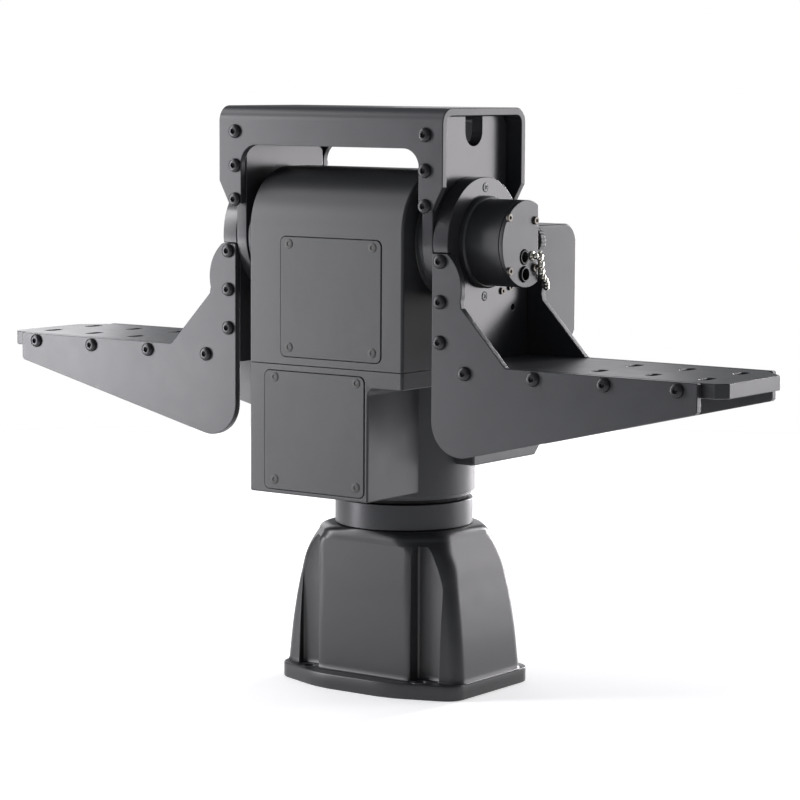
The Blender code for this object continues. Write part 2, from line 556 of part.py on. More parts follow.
def make_tilt(f):
    turned_ring("tilt_shaft", "steel", f, "X", TILT_Y, TILT_Z,
                [(SHAFT_BORE, -66.0), (SHAFT_R, -66.0), (SHAFT_R, 66.0), (SHAFT_BORE, 66.0)], 20)
    root, tip, teeth = TILT_WHEEL
    ob = prism("tilt_worm_wheel", "bronze", f, "X", gear_outline(TILT_Y, TILT_Z, root, tip, teeth),
               TILT_WORM_X - 5.0, TILT_WORM_X + 5.0)
    cut(ob, bm_prism("X", circle(TILT_Y, TILT_Z, SHAFT_R + GAP, 20), -40.0, 20.0),
        "tilt_wheel_bore")

    # top channel, bent from one plate
    r0, r1 = CH_BEND, CH_BEND - PLATE
    yf, yr, zt = CH_FRONT, CH_REAR, CH_TOP
    pts = [(yf, CH_LEG_Z)] + arc(yf + r0, zt - r0, r0, 180, 90, 5)
    pts += arc(yr - r0, zt - r0, r0, 90, 0, 5) + [(yr, CH_LEG_Z), (yr - PLATE, CH_LEG_Z)]
    pts += arc(yr - r0, zt - r0, r1, 0, 90, 5) + arc(yf + r0, zt - r0, r1, 90, 180, 5)
    pts += [(yf + PLATE, CH_LEG_Z)]
    ob = prism("top_channel", "plate", f, "X", pts, -CH_HALF, CH_HALF)
    win = [(-WIN_HALF, 300.0)] + arc(-WIN_HALF + WIN_R, WIN_TOP - WIN_R, WIN_R, 180, 90, 5)
    win += arc(WIN_HALF - WIN_R, WIN_TOP - WIN_R, WIN_R, 90, 0, 5) + [(WIN_HALF, 300.0)]
    cut(ob, bm_prism("Y", win, -120.0, 60.0), "channel_windows")
    for s in (-1, 1):
        tri = [(s * 81.2, CH_LEG_Z), (s * 89.2, 334.6), (s * 99.2, 334.6 + 18.5),
               (s * 99.2, 300.0), (s * 70.5, 300.0)]
        cut(ob, bm_prism("Y", tri, -120.0, 60.0), "leg_chamfer_%s" % ("l" if s < 0 else "r"))

    for side, s in (("left", -1), ("right", 1)):
        def span(a, b):
            return tuple(sorted((s * a, s * b)))

        # tilt hub: disc outside the bearing
        a, b = span(66.5, TEP_X0 - GAP)
        turned_ring("hub_" + side, "anodised", f, "X", TILT_Y, TILT_Z,
                    [(SHAFT_BORE, a), (40.0, a), (40.0, b), (SHAFT_BORE, b)], 28)
        a, b = span(TEP_X0, TEP_X1)
        ob = prism("channel_end_" + side, "plate", f, "X", top_end_profile(), a, b)
        cut(ob, bm_prism("X", circle(TILT_Y, TILT_Z, SHAFT_BORE, 16), -100, 100),
            "channel_end_bore_" + side)
        a, b = span(SEP_X0, SEP_X1)
        ob2 = prism("bracket_end_" + side, "plate", f, "X", side_end_profile(), a, b)
        cut(ob2, bm_prism("X", circle(TILT_Y, TILT_Z, SHAFT_BORE, 16), -100, 100),
            "bracket_end_bore_" + side)
        # hub bolts, through both end plates into the hub's edge
        for tag, ang in (("top", 90), ("bottom", 270)):
            y = TILT_Y + HUB_BOLT_R * math.cos(math.radians(ang))
            z = TILT_Z + HUB_BOLT_R * math.sin(math.radians(ang))
            for n, o in (("c", ob), ("b", ob2)):
                cut(o, bm_prism("X", circle(y, z, 2.9, 10), -100, 100),
                    "hub_hole_%s_%s_%s" % (n, side, tag))
            w = [(2.4, s * 71.2), (2.4, s * 90.3), (4.9, s * 90.3), (4.9, s * 91.8),
                 (4.1, s * 92.8)]
            turned("hub_bolt_%s_%s" % (side, tag), "screw", f, "X", y, z, w, 10)

        prof = side_plate_profile()
        if s < 0:
            prof = mirror_pts(prof)
        prism("front_plate_" + side, "plate", f, "Y", prof, FP_FRONT, FP_FRONT + PLATE)
        prism("rear_plate_" + side, "plate", f, "Y", prof, RP_INNER, RP_INNER + PLATE)

        y0, y1 = FP_FRONT + PLATE + GAP, RP_INNER - GAP
        sh = [(90.3, y0), (SHELF_X1 - 6.4, y0), (SHELF_X1, y0 + 6.4), (SHELF_X1, y1 - 18.5),
              (SHELF_X1 - 18.5, y1), (90.3, y1)]
        if s < 0:
            sh = mirror_pts(sh)
        ob = prism("shelf_" + side, "plate", f, "Z", sh, SHELF_Z0, SHELF_Z1)
        for i, x in enumerate(SLOT_X[s]):
            for j, y in enumerate(SLOT_Y):
                h = SLOT_L / 2 - SLOT_W / 2
                sl = arc(s * x, y + h, SLOT_W / 2, 0, 180, 4)
                sl += arc(s * x, y - h, SLOT_W / 2, 180, 360, 4)
                cut(ob, bm_prism("Z", sl, 200.0, 240.0), "slot_%s_%d%d" % (side, i, j))

    # connector housing on the right hub
    ob = prism("connector_housing", "casting", f, "X", d_outline(CONN_R, CONN_FLAT), CONN_X0, CONN_X1)
    join(ob, bm_prism("X", circle(TILT_Y, TILT_Z, CONN_FOOT_R, 32), CONN_X0, CONN_FOOT_X),
         "housing_foot")
    cut(ob, bm_prism("X", d_outline(CONN_R - 3.0, CONN_FLAT - 3.0), 80.0, 130.0), "housing_inside")
    cut(ob, bm_prism("Y", circle(107.0, 299.5, 6.5, 14), -36.0, -10.0), "housing_side_hole")
    ob = prism("connector_cap", "plate", f, "X", d_outline(CONN_R, CONN_FLAT), CONN_X1 + GAP,
               CONN_X1 + GAP + 2.6)
    cut(ob, bm_prism("X", circle(-42.0, 290.8, 4.8, 14), 100.0, 140.0), "cap_port_a")
    cut(ob, bm_prism("X", circle(-42.0, 280.0, 5.0, 14), 100.0, 140.0), "cap_port_b")
    turned_ring("signal_port", "black_plastic", f, "X", -42.0, 290.8,
                [(4.3, 112.0), (4.3, 122.4), (3.4, 122.4), (3.4, 116.0), (0.8, 116.0),
                 (0.8, 112.0)], 14)
    turned_ring("power_port", "zinc", f, "X", -42.0, 280.0,
                [(4.6, 112.0), (4.6, 123.2), (3.7, 123.2), (3.7, 116.0), (0.8, 116.0),
                 (0.8, 112.0)], 14)
    turned_ring("side_port", "zinc", f, "Y", 107.0, 299.5,
                [(6.0, -32.0), (6.0, CONN_FLAT + GAP), (8.6, CONN_FLAT + GAP), (8.6, -23.6),
                 (7.0, -23.6), (7.0, -14.0), (1.2, -14.0), (1.2, -32.0)], 14)
    turned("dust_cap", "black_plastic", f, "Y", 107.0, 299.5,
           [(8.4, -7.6), (9.3, -8.4), (9.3, -13.7)], 18)
    # tether of the dust cap
    cu = bpy.data.curves.new("dust_cap_tether", "CURVE")
    cu.dimensions = "3D"
    sp = cu.splines.new("POLY")
    n = 14
    a, b = Vector((123.0, -29.5, 291.0)), Vector((112.5, -6.6, 293.0))
    sp.points.add(n - 1)
    for i in range(n):
        t = i / (n - 1)
        p = a.lerp(b, t)
        p.z -= 26.0 * (4 * t * (1 - t)) ** 0.8
        p.x = a.x + (b.x - a.x) * t ** 3 + 1.5 * math.sin(math.pi * t)
        q = (p - Vector((0, TILT_Y, TILT_Z))) * MM
        sp.points[i].co = (q.x, q.y, q.z, 1.0)
    cu.bevel_depth = 0.9 * MM
    cu.bevel_resolution = 1
    cu.use_fill_caps = True
    ob = bpy.data.objects.new("dust_cap_tether", cu)
    bpy.context.collection.objects.link(ob)
    ob.parent = f
    cu.materials.append(MATS["zinc"])

    # plain cover over the cable bore of the left hub
    turned("blanking_cap", "anodised", f, "X", TILT_Y, TILT_Z,
           [(24.0, -90.3), (24.0, -93.2), (22.8, -94.2)], 28)


def main():
    clear_scene()
    material("casting", (0.035, 0.036, 0.040), 0.42, 0.0)
    material("plate", (0.045, 0.047, 0.053), 0.34, 0.0)
    material("cover", (0.035, 0.036, 0.040), 0.45, 0.0)
    material("black_plate", (0.03, 0.03, 0.033), 0.5, 0.0)
    material("anodised", (0.04, 0.041, 0.045), 0.35, 0.6)
    material("steel", (0.55, 0.55, 0.56), 0.3, 1.0)
    material("bronze", (0.62, 0.42, 0.18), 0.35, 1.0)
    material("zinc", (0.62, 0.61, 0.58), 0.3, 1.0)
    material("screw", (0.30, 0.30, 0.31), 0.3, 1.0)
    material("motor", (0.25, 0.25, 0.26), 0.4, 0.8)
    material("rubber", (0.02, 0.02, 0.02), 0.8, 0.0)
    material("black_plastic", (0.02, 0.02, 0.022), 0.5, 0.0)
    material("circuit", (0.02, 0.12, 0.05), 0.5, 0.0)

    base = empty("frame_base", (0, 0, 0))
    head = empty("frame_pan", (0, 0, 0))
    head.parent = base
    tilt = empty("frame_tilt", (0, TILT_Y, TILT_Z))
    tilt.parent = head
    pworm = empty("frame_pan_worm", (0, PAN_WORM_Y, PAN_WORM_Z))
    pworm.parent = head
    tworm = empty("frame_tilt_worm", (TILT_WORM_X, 0, TILT_WORM_Z))
    tworm.parent = head

    make_base(base)
    make_head(head)
    make_tilt(tilt)
    make_worm("pan_worm", pworm, "X", PAN_WORM_Y, PAN_WORM_Z, -26.0, 25.0, -13.0, 13.0,
              2 * math.pi * PAN_WHEEL[1] / PAN_WHEEL[2])
    make_worm("tilt_worm", tworm, "Y", TILT_WORM_X, TILT_WORM_Z, -72.0, -6.5, -56.0, -22.0,
              2 * math.pi * TILT_WHEEL[1] / TILT_WHEEL[2])


main()
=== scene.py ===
"""Looks of the pan-tilt unit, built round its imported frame.

Lengths in the geometry code are millimetres in the shared frame (origin on the
pan axis at the underside, front towards -Y); meshes are made in metres.
"""
import math
import random

import bmesh
import bpy
import numpy as np
from mathutils import Matrix, Vector
from mathutils.geometry import tessellate_polygon


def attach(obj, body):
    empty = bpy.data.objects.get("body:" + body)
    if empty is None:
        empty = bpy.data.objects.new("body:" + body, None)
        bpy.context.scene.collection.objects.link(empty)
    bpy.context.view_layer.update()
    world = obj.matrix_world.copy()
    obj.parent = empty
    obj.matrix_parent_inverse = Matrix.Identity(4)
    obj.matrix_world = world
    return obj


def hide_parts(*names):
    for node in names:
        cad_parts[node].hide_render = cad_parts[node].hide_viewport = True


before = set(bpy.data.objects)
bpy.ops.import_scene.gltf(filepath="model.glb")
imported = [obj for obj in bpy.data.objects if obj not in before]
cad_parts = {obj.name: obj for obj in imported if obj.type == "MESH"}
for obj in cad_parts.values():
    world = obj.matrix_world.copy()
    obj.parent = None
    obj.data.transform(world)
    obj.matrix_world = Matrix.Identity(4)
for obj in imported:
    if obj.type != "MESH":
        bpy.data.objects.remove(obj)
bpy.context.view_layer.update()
SCENE = bpy.context.scene

MM = 0.001
TY, TZ = -39.2, 299.0            # tilt axis
SEAM = 217.0
FRONT = -88.3
FP = -81.24                      # front face of the side brackets
RP = 15.96                       # rear face of the side brackets
AX = {"X": (1, 2, 0), "Y": (0, 2, 1), "Z": (0, 1, 2)}


# ------------------------------------------------------------------- outlines
def to3(axis, u, v, w):
    p = [0.0, 0.0, 0.0]
    iu, iv, iw = AX[axis]
    p[iu], p[iv], p[iw] = u, v, w
    return p


def arc(cu, cv, r, a0, a1, n):
    return [(cu + r * math.cos(math.radians(a0 + (a1 - a0) * i / n)),
             cv + r * math.sin(math.radians(a0 + (a1 - a0) * i / n)))
            for i in range(n + 1)]


def circle(cu, cv, r, n=48):
    return [(cu + r * math.cos(2 * math.pi * i / n), cv + r * math.sin(2 * math.pi * i / n))
            for i in range(n)]


def rrect(u0, u1, v0, v1, r, n=8):
    return (arc(u1 - r, v1 - r, r, 0, 90, n) + arc(u0 + r, v1 - r, r, 90, 180, n)
            + arc(u0 + r, v0 + r, r, 180, 270, n) + arc(u1 - r, v0 + r, r, 270, 360, n))


def area2(pts):
    return sum(pts[i - 1][0] * pts[i][1] - pts[i][0] * pts[i - 1][1] for i in range(len(pts)))


def turned_to(pts, ccw=True):
    return list(pts) if (area2(pts) > 0) == ccw else list(reversed(pts))


def clean(pts, eps=0.02):
    out = []
    for p in pts:
        if not out or math.hypot(p[0] - out[-1][0], p[1] - out[-1][1]) > eps:
            out.append(p)
    if math.hypot(out[0][0] - out[-1][0], out[0][1] - out[-1][1]) < eps:
        out.pop()
    return out


def round_poly(pts, r, n=4, closed=True, special=None, min_turn=20.0):
    """Every clear corner of the outline becomes an arc of radius r."""
    pts = clean(pts) if closed else list(pts)
    out = []
    m = len(pts)
    for i in range(m):
        if not closed and i in (0, m - 1):
            out.append(pts[i])
            continue
        p0, p1, p2 = (Vector(pts[i - 1]), Vector(pts[i]), Vector(pts[(i + 1) % m]))
        e1, e2 = p1 - p0, p2 - p1
        l1, l2 = e1.length, e2.length
        e1.normalize()
        e2.normalize()
        turn = math.atan2(e1.x * e2.y - e1.y * e2.x, e1.dot(e2))
        if abs(turn) < math.radians(min_turn):
            out.append(pts[i])
            continue
        rr = r
        if special:
            for (su, sv), sr in special:
                if math.hypot(p1.x - su, p1.y - sv) < 1.0:
                    rr = sr
        t = min(rr * math.tan(abs(turn) / 2), 0.45 * l1, 0.45 * l2)
        if t < 0.02:
            out.append(pts[i])
            continue
        rad = t / math.tan(abs(turn) / 2)
        s = 1.0 if turn > 0 else -1.0
        nrm = Vector((-e1.y, e1.x)) * s
        c = p1 - e1 * t + nrm * rad
        a0 = math.atan2(-nrm.y, -nrm.x)
        k = max(2, int(n * abs(turn) / (math.pi / 2) + 0.5))
        for j in range(k + 1):
            a = a0 + turn * j / k
            out.append((c.x + rad * math.cos(a), c.y + rad * math.sin(a)))
    return out


def offset(pts, d):
    """Loop moved to its left by d."""
    if abs(d) < 1e-9:
        return list(pts)
    out = []
    m = len(pts)
    for i in range(m):
        x0, y0 = pts[i - 1]
        x1, y1 = pts[i]
        x2, y2 = pts[(i + 1) % m]
        a, b = (x1 - x0, y1 - y0), (x2 - x1, y2 - y1)
        la, lb = math.hypot(*a), math.hypot(*b)
        n1, n2 = (-a[1] / la, a[0] / la), (-b[1] / lb, b[0] / lb)
        mx, my = n1[0] + n2[0], n1[1] + n2[1]
        q = math.hypot(mx, my)
        if q < 1e-6:
            mx, my, q = n1[0], n1[1], 1.0
        mx, my = mx / q, my / q
        k = d / max(mx * n1[0] + my * n1[1], 0.4)
        out.append((x1 + mx * k, y1 + my * k))
    return out


def edge_levels(lo, hi, bl, bh, seg):
    """(position, inset) from the low cap to the high one, with rounded rims."""
    lv = []
    if bl > 0:
        for k in range(seg + 1):
            t = math.pi / 2 * k / seg
            lv.append((lo + bl * (1 - math.cos(t)), bl * (1 - math.sin(t))))
    else:
        lv.append((lo, 0.0))
    if bh > 0:
        for k in range(seg + 1):
            t = math.pi / 2 * k / seg
            lv.append((hi - bh * (1 - math.sin(t)), bh * (1 - math.cos(t))))
    else:
        lv.append((hi, 0.0))
    return lv


# --------------------------------------------------------------------- solids
def bm_levels(axis, loops, levels):
    """Solid between two caps, with its rims at the given levels (position, inset).
    Faces are marked 0 on the caps, 1 on straight walls and 2 on rounded rims."""
    loops = [turned_to(clean(loops[0]), True)] + [turned_to(clean(h), False) for h in loops[1:]]
    bm = bmesh.new()
    rings = []
    for w, d in levels:
        rings.append([[bm.verts.new(to3(axis, u, v, w)) for u, v in offset(lp, d)] for lp in loops])
    for (w0, d0), (w1, d1), r0, r1 in zip(levels, levels[1:], rings, rings[1:]):
        mark = 1 if abs(d0 - d1) < 1e-9 else 2
        for a, b in zip(r0, r1):
            n = len(a)
            for i in range(n):
                j = (i + 1) % n
                f = bm.faces.new((a[i], a[j], b[j], b[i]))
                f.material_index = mark
    for ring in (rings[0], rings[-1]):
        if len(loops) == 1:
            bm.faces.new(ring[0])
        else:
            flat = [v for lp in ring for v in lp]
            iu, iv, _ = AX[axis]
            tri = tessellate_polygon([[Vector((v.co[iu], v.co[iv], 0.0)) for v in lp] for lp in ring])
            for t in tri:
                bm.faces.new([flat[k] for k in t])
    bmesh.ops.recalc_face_normals(bm, faces=bm.faces)
    return bm


def bm_plate(axis, outer, lo, hi, holes=(), bev=0.5, seg=3, bev_lo=None, bev_hi=None):
    bl = bev if bev_lo is None else bev_lo
    bh = bev if bev_hi is None else bev_hi
    return bm_levels(axis, [outer] + list(holes), edge_levels(lo, hi, bl, bh, seg))


def bm_spin(axis, cu, cv, prof, n=96, closed=False):
    """Turned body; prof is (radius, position). Closed profiles make rings."""
    bm = bmesh.new()
    rings = []
    for r, w in prof:
        rings.append([bm.verts.new(to3(axis, cu + r * math.cos(2 * math.pi * i / n),
                                       cv + r * math.sin(2 * math.pi * i / n), w))
                      for i in range(n)])
    pairs = list(zip(rings, rings[1:]))
    if closed:
        pairs.append((rings[-1], rings[0]))
    for p, q in pairs:
        for i in range(n):
            j = (i + 1) % n
            bm.faces.new((p[i], p[j], q[j], q[i]))
    if not closed:
        bm.faces.new(rings[0])
        bm.faces.new(rings[-1])
    bmesh.ops.recalc_face_normals(bm, faces=bm.faces)
    return bm


def ring_solid(axis, cu, cv, prof, r=0.4, n=96, seg=3):
    return bm_spin(axis, cu, cv, round_poly(prof, r, seg), n, True)


def bar_solid(axis, cu, cv, prof, r=0.4, n=96, seg=3):
    return bm_spin(axis, cu, cv, round_poly(prof, r, seg, closed=False), n, False)


def bm_loft(sections):
    bm = bmesh.new()
    rings = [[bm.verts.new((x, y, z)) for x, y in pts] for pts, z in sections]
    n = len(rings[0])
    for p, q in zip(rings, rings[1:]):
        for i in range(n):
            j = (i + 1) % n
            bm.faces.new((p[i], p[j], q[j], q[i]))
    bm.faces.new(rings[0])
    bm.faces.new(rings[-1])
    bmesh.ops.recalc_face_normals(bm, faces=bm.faces)
    return bm


def merge(parts):
    """Several closed bodies in one mesh."""
    out = bmesh.new()
    for bm in parts:
        tmp = bpy.data.meshes.new("tmp")
        bm.to_mesh(tmp)
        bm.free()
        out.from_mesh(tmp)
        bpy.data.meshes.remove(tmp)
    return out


def raw(bm, name):
    """Mesh in millimetres -> object in metres."""
    bmesh.ops.scale(bm, vec=(MM, MM, MM), verts=bm.verts)
    me = bpy.data.meshes.new(name)
    bm.to_mesh(me)
    bm.free()
    ob = bpy.data.objects.new(name, me)
    SCENE.collection.objects.link(ob)
    return ob


def boolean(ob, tool, op):
    m = ob.modifiers.new(tool.name, "BOOLEAN")
    m.operation = op
    m.solver = "EXACT"
    m.object = tool


def realise(ob):
    """The evaluated mesh becomes the object's own; nothing is left as a modifier."""
    bpy.context.view_layer.update()
    dg = bpy.context.evaluated_depsgraph_get()
    me = bpy.data.meshes.new_from_object(ob.evaluated_get(dg), preserve_all_data_layers=True,
                                         depsgraph=dg)
    ob.modifiers.clear()
    old = ob.data
    ob.data = me
    me.name = ob.name
    if old.users == 0:
        bpy.data.meshes.remove(old)


def combine(name, first, adds=(), cuts=()):
    """Union and difference of closed solids."""
    ob = raw(first, name)
    tools = []
    for i, bm in enumerate(adds):
        t = raw(bm, "%s_add%d" % (name, i))
        boolean(ob, t, "UNION")
        tools.append(t)
    for i, bm in enumerate(cuts):
        t = raw(bm, "%s_cut%d" % (name, i))
        boolean(ob, t, "DIFFERENCE")
        tools.append(t)
    realise(ob)
    for t in tools:
        bpy.data.objects.remove(t, do_unlink=True)
    return ob


def shade(ob, sharp=38.0, weighted=True):
    me = ob.data
    me.shade_smooth()
    if sharp:
        me.set_sharp_from_angle(angle=math.radians(sharp))
    if weighted:
        w = ob.modifiers.new("normals", "WEIGHTED_NORMAL")
        w.keep_sharp = True
        w.weight = 60
        realise(ob)


def piece(ob, body, mats, nodes=(), sharp=38.0, weighted=True):
    """Materials by face mark, shading, body and stand-in."""
    if isinstance(mats, str):
        mats = [mats]
    me = ob.data
    me.materials.clear()
    for m in mats:
        me.materials.append(MAT[m])
    idx = np.zeros(len(me.polygons), np.int32)
    me.polygons.foreach_get("material_index", idx)
    me.polygons.foreach_set("material_index", np.minimum(idx, len(mats) - 1).astype(np.int32))
    shade(ob, sharp, weighted)
    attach(ob, body)
    if nodes:
        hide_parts(*nodes)
    return ob


# ------------------------------------------------------------------- materials
MAT = {}


class Nodes:
    def __init__(self, name):
        m = bpy.data.materials.new(name)
        m.use_nodes = True
        self.m, self.t = m, m.node_tree
        self.t.nodes.clear()
        self.out = self.t.nodes.new("ShaderNodeOutputMaterial")
        self.b = self.t.nodes.new("ShaderNodeBsdfPrincipled")
        self.t.links.new(self.b.outputs["BSDF"], self.out.inputs["Surface"])
        self.co = self.t.nodes.new("ShaderNodeTexCoord").outputs["Object"]
        MAT[name] = m

    def link(self, a, b):
        self.t.links.new(a, b)

    def set(self, **kw):
        names = {"rgb": "Base Color", "rough": "Roughness", "metal": "Metallic",
                 "spec": "Specular IOR Level", "coat": "Coat Weight",
                 "coat_rough": "Coat Roughness", "sheen": "Sheen Weight",
                 "sheen_rough": "Sheen Roughness", "ior": "IOR", "aniso": "Anisotropic"}
        for k, v in kw.items():
            s = self.b.inputs[names[k]]
            s.default_value = (*v, 1.0) if k == "rgb" else v

    def shifted(self, scale=(1, 1, 1), loc=(0, 0, 0)):
        n = self.t.nodes.new("ShaderNodeMapping")
        n.inputs["Scale"].default_value = scale
        n.inputs["Location"].default_value = loc
        self.link(self.co, n.inputs["Vector"])
        return n.outputs["Vector"]

    def noise(self, scale, detail=3.0, rough=0.5, vec=None, distort=0.0):
        n = self.t.nodes.new("ShaderNodeTexNoise")
        n.inputs["Scale"].default_value = scale
        n.inputs["Detail"].default_value = detail
        n.inputs["Roughness"].default_value = rough
        n.inputs["Distortion"].default_value = distort
        self.link(vec if vec is not None else self.co, n.inputs["Vector"])
        return n.outputs["Fac"]

    def voronoi(self, scale, feature="F1"):
        n = self.t.nodes.new("ShaderNodeTexVoronoi")
        n.feature = feature
        n.inputs["Scale"].default_value = scale
        self.link(self.co, n.inputs["Vector"])
        return n.outputs["Distance"]

    def ramp(self, fac, lo, hi, a=0.0, b=1.0):
        n = self.t.nodes.new("ShaderNodeMapRange")
        n.inputs["From Min"].default_value = lo
        n.inputs["From Max"].default_value = hi
        n.inputs["To Min"].default_value = a
        n.inputs["To Max"].default_value = b
        self.link(fac, n.inputs["Value"])
        return n.outputs["Result"]

    def math(self, op, a, b):
        n = self.t.nodes.new("ShaderNodeMath")
        n.operation = op
        for s, v in zip(n.inputs, (a, b)):
            if isinstance(v, (int, float)):
                s.default_value = v
            else:
                self.link(v, s)
        return n.outputs[0]

    def mix(self, fac, a, b):
        n = self.t.nodes.new("ShaderNodeMix")
        n.data_type = "RGBA"
        self.link(fac, n.inputs[0])
        for s, v in ((n.inputs[6], a), (n.inputs[7], b)):
            if isinstance(v, tuple):
                s.default_value = (*v, 1.0)
            else:
                self.link(v, s)
        return n.outputs[2]

    def bump(self, height, strength, distance, normal=None):
        n = self.t.nodes.new("ShaderNodeBump")
        n.inputs["Strength"].default_value = strength
        n.inputs["Distance"].default_value = distance
        self.link(height, n.inputs["Height"])
        if normal is not None:
            self.link(normal, n.inputs["Normal"])
        return n.outputs["Normal"]


def tone(c, k):
    return tuple(min(1.0, x * k) for x in c)


def coated(name, rgb, rough, spread=0.05, cloud=0.12, grain=0.10, grain_scale=1500.0,
           waves=0.05, metal=0.0, spec=0.5, wear=0.0, bare=(0.42, 0.42, 0.43)):
    """Satin black finish: fine grain, faint clouds in tone and gloss, optional rub marks."""
    n = Nodes(name)
    n.set(metal=metal, spec=spec)
    big = n.noise(11.0, 4.0, 0.55)
    mid = n.noise(90.0, 3.0, 0.6)
    fine = n.noise(grain_scale, 2.0, 0.5)
    both = n.math("ADD", n.math("MULTIPLY", big, 0.65), n.math("MULTIPLY", mid, 0.35))
    col = n.mix(n.ramp(both, 0.32, 0.68), tone(rgb, 1 - cloud), tone(rgb, 1 + cloud))
    rg = n.ramp(both, 0.3, 0.7, rough - spread, rough + spread)
    if wear > 0:
        rub = n.ramp(n.noise(260.0, 5.0, 0.7), 0.62 - 0.2 * wear, 0.72 - 0.1 * wear)
        rub = n.math("MULTIPLY", rub, 0.75 * wear)
        col = n.mix(rub, col, bare)
        n.link(n.math("MULTIPLY", rub, 0.85), n.b.inputs["Metallic"])
    n.link(col, n.b.inputs["Base Color"])
    n.link(rg, n.b.inputs["Roughness"])
    nb = n.bump(fine, grain, 0.0002)
    if waves:
        nb = n.bump(n.noise(38.0, 2.0, 0.4), waves, 0.0012, nb)
    n.link(nb, n.b.inputs["Normal"])
    return n


def metal(name, rgb, rough, spread=0.06, scratch=0.12, turned_axis=None, tint=0.06):
    """Bare or plated metal with fine lines and slight tone changes."""
    n = Nodes(name)
    n.set(metal=1.0)
    cloud = n.noise(60.0, 4.0, 0.6)
    n.link(n.mix(n.ramp(cloud, 0.3, 0.7), tone(rgb, 1 - tint), tone(rgb, 1 + tint)),
           n.b.inputs["Base Color"])
    n.link(n.ramp(cloud, 0.3, 0.7, rough - spread, rough + spread), n.b.inputs["Roughness"])
    lines = n.noise(420.0, 3.0, 0.6, vec=n.shifted((0.15, 1.0, 4.0)))
    nb = n.bump(lines, scratch, 0.00008)
    n.link(nb, n.b.inputs["Normal"])
    return n


def make_materials():
    coated("casting", (0.030, 0.031, 0.034), 0.42, spread=0.045, cloud=0.10, grain=0.16,
           grain_scale=1150.0, waves=0.05)
    coated("base_cast", (0.018, 0.0185, 0.0205), 0.36, spread=0.04, cloud=0.12, grain=0.10,
           grain_scale=950.0, waves=0.04)
    coated("plate", (0.030, 0.031, 0.035), 0.36, spread=0.04, cloud=0.10, grain=0.07,
           grain_scale=1800.0, waves=0.035)
    # cut walls of the plates: lighter, part-metallic colour, partly a bare cut edge and partly a painted highlight for
    # the bright edge lines
    coated("plate_edge", (0.075, 0.074, 0.080), 0.30, spread=0.05, cloud=0.15, grain=0.10,
           grain_scale=900.0, waves=0.03, metal=0.35)
    # rounded rims of the plates and their holes: painted highlight, lighter than the plate so the rims read as lit
    # lines
    coated("plate_rim", (0.085, 0.080, 0.085), 0.36, spread=0.05, cloud=0.15, grain=0.08,
           waves=0.0)
    coated("gloss", (0.030, 0.030, 0.034), 0.22, spread=0.03, cloud=0.08, grain=0.03,
           grain_scale=1800.0, waves=0.01)
    coated("cover", (0.026, 0.027, 0.030), 0.45, spread=0.08, cloud=0.26, grain=0.22,
           grain_scale=900.0, waves=0.10)
    # walls and rims of the covers: painted highlight, lighter than the cover face so the cover outline reads as a lit
    # edge
    coated("cover_rim_painted_highlight", (0.040, 0.040, 0.044), 0.42, spread=0.05, cloud=0.15, grain=0.1,
           waves=0.0)
    coated("screw_black", (0.022, 0.021, 0.024), 0.30, spread=0.05, cloud=0.12, grain=0.05,
           waves=0.0, metal=0.4)
    coated("seat", (0.10, 0.10, 0.105), 0.36, spread=0.06, cloud=0.15, grain=0.08, waves=0.0,
           metal=0.6)
    coated("anodised", (0.030, 0.031, 0.035), 0.33, spread=0.04, cloud=0.08, grain=0.05,
           grain_scale=1600.0, waves=0.0, metal=0.25)
    coated("black_plate", (0.030, 0.030, 0.033), 0.5, spread=0.06, cloud=0.15, grain=0.12)
    coated("black_plastic", (0.018, 0.018, 0.020), 0.48, spread=0.06, cloud=0.12, grain=0.12,
           grain_scale=1300.0, waves=0.0)
    coated("rubber", (0.014, 0.014, 0.015), 0.78, spread=0.06, cloud=0.2, grain=0.18,
           grain_scale=1400.0, waves=0.0, spec=0.3)
    metal("steel", (0.56, 0.56, 0.57), 0.28)
    metal("bronze", (0.62, 0.42, 0.19), 0.33)
    metal("nickel", (0.66, 0.64, 0.58), 0.20, spread=0.05, scratch=0.05)
    metal("screw", (0.30, 0.295, 0.28), 0.27, spread=0.06, scratch=0.06)
    # screw_ring: own metal where it makes the whole head of a small screw; on the flat round a black head's socket it
    # is a painted highlight ring
    metal("screw_ring", (0.15, 0.14, 0.125), 0.42, spread=0.06, scratch=0.06)
    coated("cover_screw", (0.05, 0.05, 0.05), 0.5, spread=0.06, cloud=0.2, grain=0.1, waves=0.0,
           metal=0.5)
    metal("screw_light", (0.55, 0.54, 0.52), 0.26, spread=0.06, scratch=0.06)
    metal("motor", (0.24, 0.24, 0.25), 0.38)
    metal("gold", (0.80, 0.60, 0.24), 0.25, spread=0.04, scratch=0.03)
    n = coated("circuit", (0.012, 0.075, 0.032), 0.38, spread=0.05, cloud=0.2, grain=0.08)
    # painted shade: near-black, rough finish put in the hex sockets, darker than the heads round them
    coated("socket", (0.010, 0.010, 0.011), 0.6, spread=0.05, cloud=0.1, grain=0.1, waves=0.0,
           spec=0.3)
    n = Nodes("floor")
    n.set(rough=0.75, spec=0.25)
    n.b.inputs["Emission Color"].default_value = (1.0, 1.0, 1.0, 1.0)
    n.b.inputs["Emission Strength"].default_value = 0.38
    n.link(n.mix(n.ramp(n.noise(3.0, 2.0), 0.3, 0.7), (0.90, 0.90, 0.90), (0.92, 0.92, 0.92)),
           n.b.inputs["Base Color"])


# ---------------------------------------------------------------------- screws
def place(bm, point, normal, spin=0.0):
    """Stand a body made along +Z on a point, its +Z along the normal."""
    nrm = Vector(normal).normalized()
    q = nrm.to_track_quat("Z", "Y").to_matrix().to_4x4()
    m = Matrix.Translation(Vector(point)) @ q @ Matrix.Rotation(spin, 4, "Z")
    bmesh.ops.transform(bm, matrix=m, verts=bm.verts)
    return bm


def hexr(apothem, ang):
    a = (ang + math.pi / 6) % (math.pi / 3) - math.pi / 6
    return apothem / math.cos(a)


